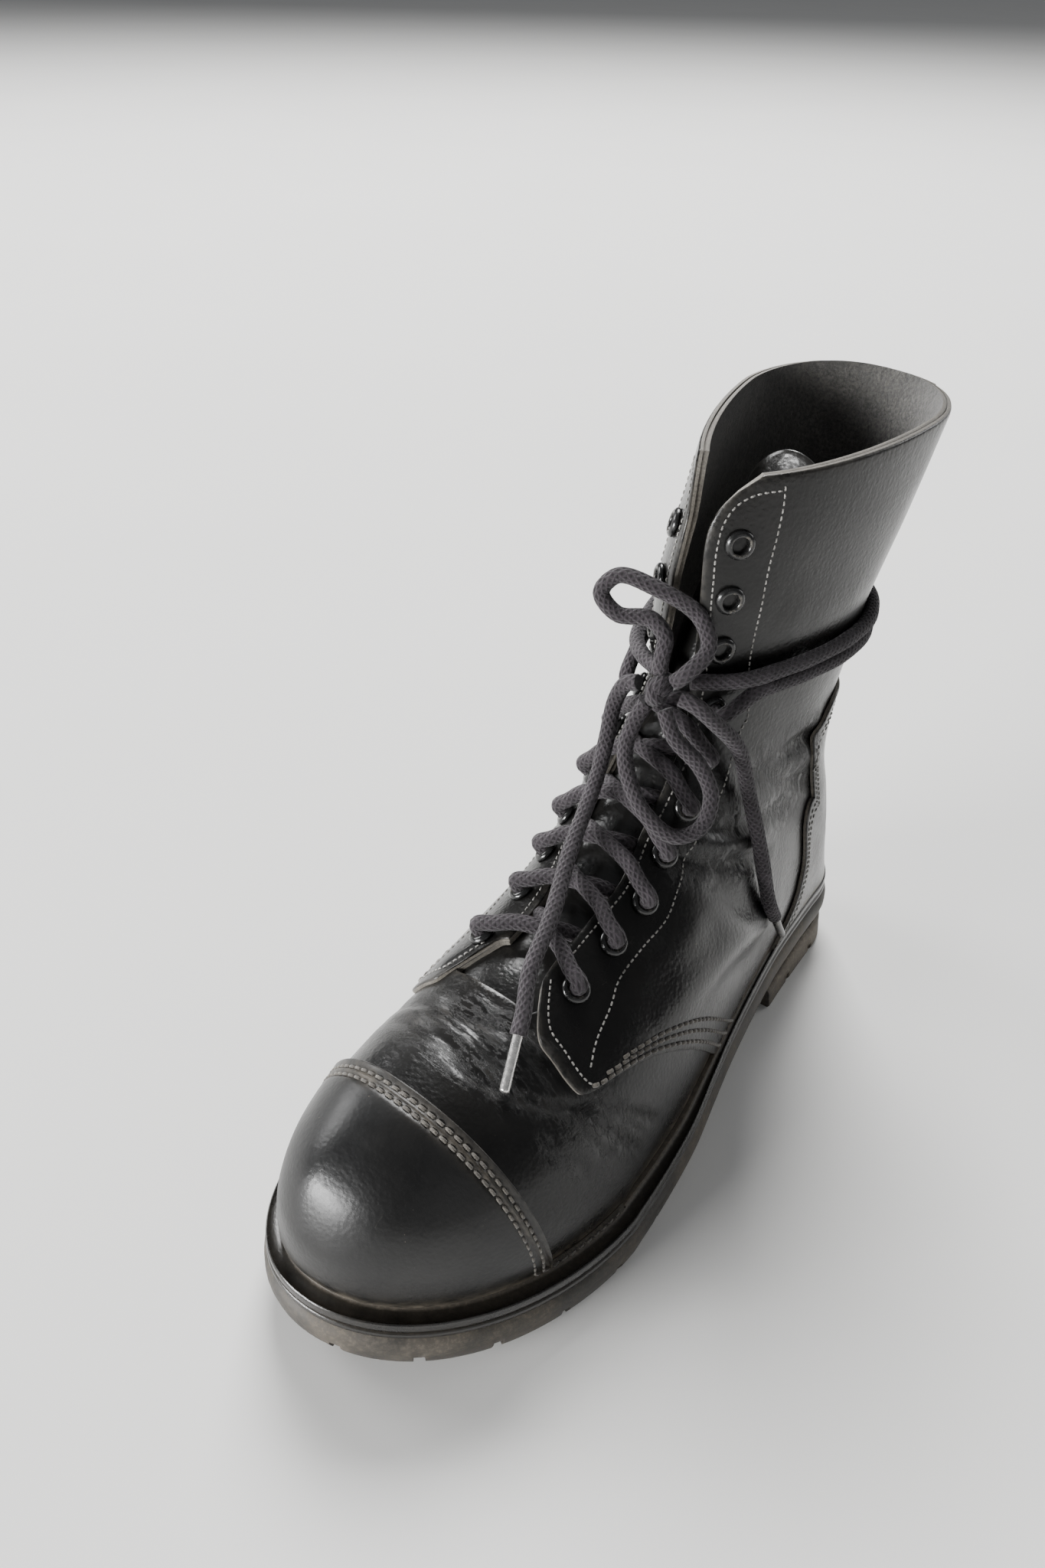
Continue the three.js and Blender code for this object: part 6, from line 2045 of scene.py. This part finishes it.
@dataclass
class Sole:
    """Welt, midsole, outsole, heel and insole."""

    form: FootForm
    plan: SolePlan
    finishes: Finishes
    seam: float = 0.3 * MM
    shelf_drop: float = 1.3 * MM
    welt_thickness: float = 3.2 * MM
    midsole_thickness: float = 2.6 * MM
    tread_depth: float = 4.5 * MM
    tread_rim: float = 15 * MM
    notch_width: float = 3.2 * MM
    lug_pitch: float = 23 * MM
    heel_breast: float = 41 * MM
    heel_flare: float = 2.2 * MM

    def build(self) -> None:
        """Makes every layer."""
        self._welt()
        self._midsole()
        self._outsole()
        self._heel()
        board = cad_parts["insole"]
        board.data.materials.clear()
        board.data.materials.append(self.finishes.board)

    def _feather(self, y: np.ndarray) -> np.ndarray:
        """Height of the feather line."""
        return self.form.feather_height(y)

    def _outsole_top(self, y: np.ndarray) -> np.ndarray:
        """Height of the joint between midsole and outsole."""
        drop = self.shelf_drop + self.welt_thickness + self.midsole_thickness + 2 * self.seam
        return self._feather(y) - drop

    def _band(self, name: str, profile: Callable[[np.ndarray, np.ndarray], np.ndarray],
              slot: str, node: str, material: bpy.types.Material,
              dusty: Sequence[float]) -> None:
        """Sweeps a closed profile right round the foot.

        Args:
            name: Name of the piece.
            profile: Side profile.
            slot: Material slot, passed on but not used.
            node: Solid that it stands for.
            material: Finish.
            dusty: Dust on each corner of the profile.
        """
        rings = []
        for side in Side:
            at = np.linspace(0, self.plan.lengths[side][-1], 230)
            points = self.plan.ring(side, at, profile)
            rings.append(points if side is Side.LATERAL else points[::-1][1:-1])
        loop = np.concatenate(rings)
        count, corners, _ = loop.shape
        faces = tube_faces(count, corners, closed=True)
        values = {"dusty": np.tile(np.array(dusty), count)}
        piece = add_mesh(name, loop.reshape(-1, 3), faces, [material], values=values, sharp=55)
        enlist(piece, slot, node)

    def _welt(self) -> None:
        """Welt with a shelf, a raised outer lip and dust against the upper."""
        form = self.form

        def profile(_: np.ndarray, y: np.ndarray) -> np.ndarray:
            """Corners of the welt from its tuck round and back."""
            edge = form.welt_out(y)
            shelf = self._feather(y) - self.shelf_drop
            bottom = shelf - self.welt_thickness
            top = self._feather(y) - self.seam
            zero = np.zeros(y.shape)
            pairs = [
                (zero - 3.2 * MM, bottom), (edge - 0.7 * MM, bottom),
                (edge - 0.2 * MM, bottom + 0.3 * MM), (edge, bottom + 1.2 * MM),
                (edge, shelf - 0.5 * MM), (edge - 0.15 * MM, shelf + 0.45 * MM),
                (edge - 0.55 * MM, shelf + 0.75 * MM), (edge - 1.0 * MM, shelf + 0.5 * MM),
                (edge - 1.35 * MM, shelf + 0.02 * MM), (zero + 1.6 * MM, shelf - 0.1 * MM),
                (zero + 0.7 * MM, shelf + 0.05 * MM), (zero + 0.1 * MM, top),
                (zero - 3.2 * MM, top),
            ]
            return as_corners(pairs)
        self._band("welt_strip", profile, "welt_rubber", "welt", self.finishes.welt,
                   [0, 0, 0, 0, 0, 0, 0, 0, 0.06, 0.30, 0.9, 1.0, 0])

    def _midsole(self) -> None:
        """Thin band between welt and outsole, with a bead."""
        form = self.form

        def profile(_: np.ndarray, y: np.ndarray) -> np.ndarray:
            """Corners of the midsole's rim."""
            edge = form.welt_out(y)
            top = (self._feather(y) - self.shelf_drop - self.welt_thickness - self.seam)
            bottom = top - self.midsole_thickness
            pairs = [
                (edge - 8 * MM, bottom), (edge - 0.5 * MM, bottom),
                (edge + 0.1 * MM, bottom + 0.4 * MM), (edge + 0.3 * MM, bottom + 1.3 * MM),
                (edge + 0.1 * MM, top - 0.4 * MM), (edge - 0.5 * MM, top),
                (edge - 8 * MM, top),
            ]
            return as_corners(pairs)
        self._band("midsole_band", profile, "welt_rubber", "midsole", self.finishes.welt,
                   [0, 0.35, 0.12, 0.05, 0.12, 0.35, 0])

    def _samples(self, side: Side, front: float, back: float,
                 notches_to: float) -> tuple[np.ndarray, np.ndarray]:
        """Lengths along the outline, with close pairs at each notch.

        Args:
            side: Which half.
            front: Lowest y.
            back: Highest y.
            notches_to: Highest y with a notch.

        Returns:
            Lengths, and whether each lies in a notch.
        """
        lengths = self.plan.lengths[side]
        y = self.plan.lines[side][:, 1]
        inside = lengths[(y >= front) & (y <= back)]
        start, end = float(inside[0]), float(inside[-1])
        at = list(np.arange(start, end, 1.8 * MM)) + [end]
        flags = [False] * len(at)
        travelled = 0.5 * self.lug_pitch
        while travelled < end:
            middle_y = float(np.interp(travelled, lengths, y))
            if travelled > start + 4 * MM and middle_y < notches_to:
                half = self.notch_width / 2
                keep = [abs(a - travelled) > half + 0.3 * MM for a in at]
                at = [a for a, kept in zip(at, keep) if kept]
                flags = [f for f, kept in zip(flags, keep) if kept]
                at += [travelled - half - 0.12 * MM, travelled - half + 0.12 * MM,
                       travelled + half - 0.12 * MM, travelled + half + 0.12 * MM]
                flags += [False, True, True, False]
            travelled += self.lug_pitch
        order = np.argsort(at)
        return np.array(at)[order], np.array(flags)[order]

    def _slab(self, side_rings: dict[Side, np.ndarray], ends: bool) -> tuple[
            np.ndarray, list[list[int]]]:
        """Joins the rings of both sides across the sole.

        Args:
            side_rings: Rings of each side, as (n, corners, 3).
            ends: Whether the first rings are closed by a face.

        Returns:
            Points and faces.
        """
        points: list[np.ndarray] = []
        faces: list[list[int]] = []
        starts = {}
        for side, rings in side_rings.items():
            starts[side] = sum(len(p) for p in points)
            count, corners, _ = rings.shape
            points.append(rings.reshape(-1, 3))
            faces += grid_faces(count, corners, starts[side], side is Side.MEDIAL)
        for corner in (0, -1):
            chains = []
            for side, rings in side_rings.items():
                count, corners, _ = rings.shape
                index = starts[side] + np.arange(count) * corners + corner % corners
                chains.append((index, rings[:, corner, 1]))
            faces += self._zip(chains[0], chains[1], corner == 0)
        if ends:
            lateral, medial = (starts[side] for side in Side)
            corners = side_rings[Side.LATERAL].shape[1]
            faces.append([lateral + j for j in range(corners)]
                         + [medial + j for j in reversed(range(corners))])
        return np.concatenate(points), faces

    @staticmethod
    def _zip(first: tuple[np.ndarray, np.ndarray], second: tuple[np.ndarray, np.ndarray],
             flip: bool) -> list[list[int]]:
        """Triangles between two rows of vertices that run the same way.

        Args:
            first: Indices and y of one row.
            second: Indices and y of the other.
            flip: Whether the triangles look the other way.

        Returns:
            Corners of each triangle.
        """
        faces = []
        i = j = 0
        while i < len(first[0]) - 1 or j < len(second[0]) - 1:
            step_first = j == len(second[0]) - 1 or (
                i < len(first[0]) - 1 and first[1][i + 1] <= second[1][j + 1])
            if step_first:
                faces.append([first[0][i], first[0][i + 1], second[0][j]])
                i += 1
            else:
                faces.append([first[0][i], second[0][j + 1], second[0][j]])
                j += 1
        faces = [[int(a) for a in corner] for corner in faces]
        return [corner[::-1] for corner in faces] if flip else faces

    def _tread_profile(self, bottom: Callable[[np.ndarray], np.ndarray],
                       top: Callable[[np.ndarray], np.ndarray], flare: float,
                       bulge: float) -> Callable[..., np.ndarray]:
        """Side profile with a rim, a sunk field inside it and notches.

        Args:
            bottom: Height of the tread.
            top: Height of the upper face.
            flare: How far the foot of the wall stands out.
            bulge: How far its middle does.

        Returns:
            A profile that also takes which lengths lie in a notch.
        """
        deep = self.tread_depth

        def profile(y: np.ndarray, notched: np.ndarray) -> np.ndarray:
            """Corners from the field round the wall to the top."""
            edge = self.form.welt_out(y)
            low = bottom(y)
            high = top(y)
            tall = np.maximum(high - low, 1.6 * MM)
            lift = np.where(notched, np.minimum(deep, 0.55 * tall), 0)
            pairs = [
                (edge - self.tread_rim, low + np.minimum(deep, 0.55 * tall)),
                (edge - self.tread_rim + 0.5 * MM, low + 0.3 * MM),
                (edge - 12.4 * MM, low), (edge - 12.1 * MM, low + lift),
                (edge + flare - 1.1 * MM, low + lift),
                (edge + flare - 0.3 * MM, low + lift + 0.12 * tall * (1 - 0.9 * notched)),
                (edge + flare + (bulge - flare) * 0.5, low + 0.30 * tall + 0.3 * lift),
                (edge + bulge, low + 0.58 * tall), (edge + bulge * 0.9, low + 0.80 * tall),
                (edge + bulge * 0.4, low + 0.93 * tall), (edge - 0.5 * MM, low + tall),
                (edge - 6 * MM, low + tall),
            ]
            return as_corners(pairs)
        return profile

    def _tread_rings(self, front: float, back: float, notches_to: float,
                     profile: Callable[..., np.ndarray]) -> dict[Side, np.ndarray]:
        """Rings of both sides for a part of the sole."""
        rings = {}
        for side in Side:
            at, notched = self._samples(side, front, back, notches_to)

            def cut(_: np.ndarray, y: np.ndarray, flags: np.ndarray = notched) -> np.ndarray:
                """The profile with this side's notches."""
                return profile(y, flags)
            rings[side] = self.plan.ring(side, at, cut)
        return rings

    def _lug(self, centre: tuple[float, float], size: tuple[float, float],
             bottom: Callable[[np.ndarray], np.ndarray], corners: int) -> np.ndarray:
        """Rings of one tread lug: a low block with softened edges."""
        if corners == 4:
            outline = np.array([[-1, -1], [1, -1], [1, 1], [-1, 1]])
        else:
            angles = 2 * math.pi * (np.arange(corners) + 0.5) / corners
            outline = np.stack([np.cos(angles), np.sin(angles)], axis=1)
        outline = outline * np.array(size) / 2
        rings = []
        for inset, lift in ((0.0, self.tread_depth + 0.6 * MM), (0.0, 0.5 * MM),
                            (0.5 * MM, 0.0)):
            plan = outline * (1 - inset / np.abs(outline).max()) + np.array(centre)
            rings.append(np.column_stack([plan, bottom(plan[:, 1]) + lift]))
        return np.array(rings)

    @staticmethod
    def _lug_piece(name: str, lugs: list[np.ndarray], node: str,
                   material: bpy.types.Material) -> None:
        """Joins lugs into one piece."""
        count, corners, _ = lugs[0].shape
        faces = [face for k in range(len(lugs))
                 for face in tube_faces(count, corners, k * count * corners)]
        points = np.concatenate(lugs).reshape(-1, 3)
        enlist(add_mesh(name, points, faces, [material], sharp=40), "sole_rubber", node)

    def _outsole(self) -> None:
        """Outsole from the toe to the heel seat, with lugs under the forefoot."""
        form = self.form
        profile = self._tread_profile(form.sole_bottom, self._outsole_top, -0.2 * MM, 1.5 * MM)
        back_limit = -0.40 * form.last_length + form.heel_reach
        rings = self._tread_rings(-1.0, 1.0, back_limit, profile)
        points, faces = self._slab(rings, ends=False)
        piece = add_mesh("outsole_rubber", points, faces, [self.finishes.rubber], sharp=40,
                         merge=0.02 * MM)
        enlist(piece, "sole_rubber", "outsole")
        lugs: list[np.ndarray] = []
        y = back_limit - self.lug_pitch / 2
        while y > -(0.90 * form.last_length - form.heel_reach):
            lugs.append(self._lug((0.0, y), (38 * MM, 13 * MM), form.sole_bottom, 4))
            y -= self.lug_pitch
        self._lug_piece("forefoot_lugs", lugs, "outsole", self.finishes.rubber)

    def _heel(self) -> None:
        """Heel block with its breast and one round lug."""
        form = self.form

        def floor(y: np.ndarray) -> np.ndarray:
            """The floor."""
            return np.zeros(np.shape(y))

        def top(y: np.ndarray) -> np.ndarray:
            """Underside of the outsole."""
            return form.sole_bottom(y) - self.seam
        profile = self._tread_profile(floor, top, self.heel_flare, 1.2 * MM)
        rings = self._tread_rings(-self.heel_breast, 1.0, 1.0, profile)
        for side in Side:
            rings[side][0, :, 1] = -self.heel_breast
        points, faces = self._slab(rings, ends=True)
        piece = add_mesh("heel_block", points, faces, [self.finishes.heel_rubber], sharp=40,
                         merge=0.02 * MM)
        enlist(piece, "sole_rubber", "heel")
        lug = self._lug((0.0, 0.0), (18 * MM, 18 * MM), floor, 28)
        self._lug_piece("heel_lug", [lug], "heel", self.finishes.heel_rubber)


@dataclass(frozen=True)
class SoftLight:
    """Rectangular light that looks at the boot: size in metres, power in watts."""

    name: str
    direction: tuple[float, float, float]
    distance: float
    size: tuple[float, float]
    power: float


LIGHTS = (
    SoftLight("window", (-0.36, 0.48, 0.80), 4.5, (2.1, 1.7), 400),
    SoftLight("toe_window", (-0.36, -0.92, 0.16), 4.0, (2.2, 0.9), 400),
    SoftLight("side_window", (-0.95, -0.20, 0.45), 4.5, (1.8, 1.5), 110),
    SoftLight("rim", (0.45, 0.95, 0.42), 4.0, (2.0, 1.4), 36),
    SoftLight("fill", (0.90, -0.45, 0.35), 4.5, (2.5, 2.0), 9),
)


@dataclass
class Studio:
    """Camera, floor and soft light."""

    place: tuple[float, float, float] = (0.169265, -0.384469, 0.365466)
    azimuth: float = math.radians(37.551)
    elevation: float = math.radians(35.703)
    roll: float = math.radians(1.479)
    focal_pixels: float = 1551.0
    image_height: int = 2048
    floor_reach: float = 30.0
    aim: tuple[float, float, float] = (0.0, -0.1, 0.1)
    sky: Rgb = (0.85, 0.87, 0.90)
    sky_strength: float = 0.20

    def camera(self) -> None:
        """Sets the camera at the photograph's angle."""
        data = bpy.data.cameras.new("camera")
        data.sensor_width = 36.0
        data.lens = self.focal_pixels / self.image_height * data.sensor_width
        data.clip_start = 0.01
        data.clip_end = 50.0
        camera = place_object("camera", data)
        a, e = self.azimuth, self.elevation
        back = np.array([math.sin(a) * math.cos(e), -math.cos(a) * math.cos(e), math.sin(e)])
        right = np.array([math.cos(a), math.sin(a), 0.0])
        up = np.cross(back, right)
        turned_right = right * math.cos(self.roll) + up * math.sin(self.roll)
        turned_up = -right * math.sin(self.roll) + up * math.cos(self.roll)
        axes = np.stack([turned_right, turned_up, back], axis=1)
        matrix = Matrix(axes.tolist()).to_4x4()
        matrix.translation = self.place
        camera.matrix_world = matrix
        bpy.context.scene.camera = camera

    def floor(self) -> None:
        """Lays a pale floor."""
        bench = NodeBench("studio_floor")
        tone = bench.noise(3, 3)
        bench.link(bench.blend(tone, (0.72, 0.715, 0.70), (0.76, 0.755, 0.74)), "Base Color")
        bench.set(Roughness=0.9, Specular_IOR_Level=0.15)
        reach = self.floor_reach
        mesh = bpy.data.meshes.new("studio_floor")
        mesh.from_pydata([(-reach, -reach, 0), (reach, -reach, 0), (reach, reach, 0),
                          (-reach, reach, 0)], [], [(0, 1, 2, 3)])
        mesh.materials.append(bench.material)
        place_object("studio_floor", mesh)

    def _place_light(self, light: SoftLight) -> None:
        """Adds one soft light."""
        data = bpy.data.lights.new(light.name, "AREA")
        data.shape = "RECTANGLE"
        data.size, data.size_y = light.size
        data.energy = light.power
        lamp = place_object(light.name, data)
        back = unit(np.array(light.direction))
        right = unit(np.cross(np.array([0.0, 0.0, 1.0]), back))
        up = np.cross(back, right)
        matrix = Matrix(np.stack([right, up, back], axis=1).tolist()).to_4x4()
        matrix.translation = (np.array(self.aim) + back * light.distance).tolist()
        lamp.matrix_world = matrix

    def light(self) -> None:
        """Lights the boot softly from the upper left, with a fill."""
        for light in LIGHTS:
            self._place_light(light)
        world = bpy.data.worlds.new("studio")
        world.use_nodes = True
        background = world.node_tree.nodes["Background"]
        background.inputs["Color"].default_value = (*self.sky, 1.0)
        background.inputs["Strength"].default_value = self.sky_strength
        bpy.context.scene.world = world

    def build(self) -> None:
        """Sets up the studio."""
        self.camera()
        self.floor()
        self.light()


def main() -> None:
    """Builds the boot's pieces in order."""
    logging.basicConfig(level=logging.INFO, format="%(message)s")
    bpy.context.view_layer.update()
    Studio().build()
    form = FootForm()
    relief = Relief(form)
    cutter = SheetCutter(form, relief)
    stitcher = Stitcher(form, relief)
    finishes = Finishes()
    eyelets = Eyelets(form, finishes)
    Lacing(form, eyelets, finishes).build()
    ToeCap(cutter, stitcher, finishes).build()
    Quarters(cutter, stitcher, finishes).build()
    HeelCounter(cutter, stitcher, finishes).build()
    BackTab(cutter, stitcher, finishes).build()
    Tongue(cutter, finishes).build()
    eyelets.build()
    Sole(form, SolePlan(form), finishes).build()


if __name__ == "__main__":
    main()
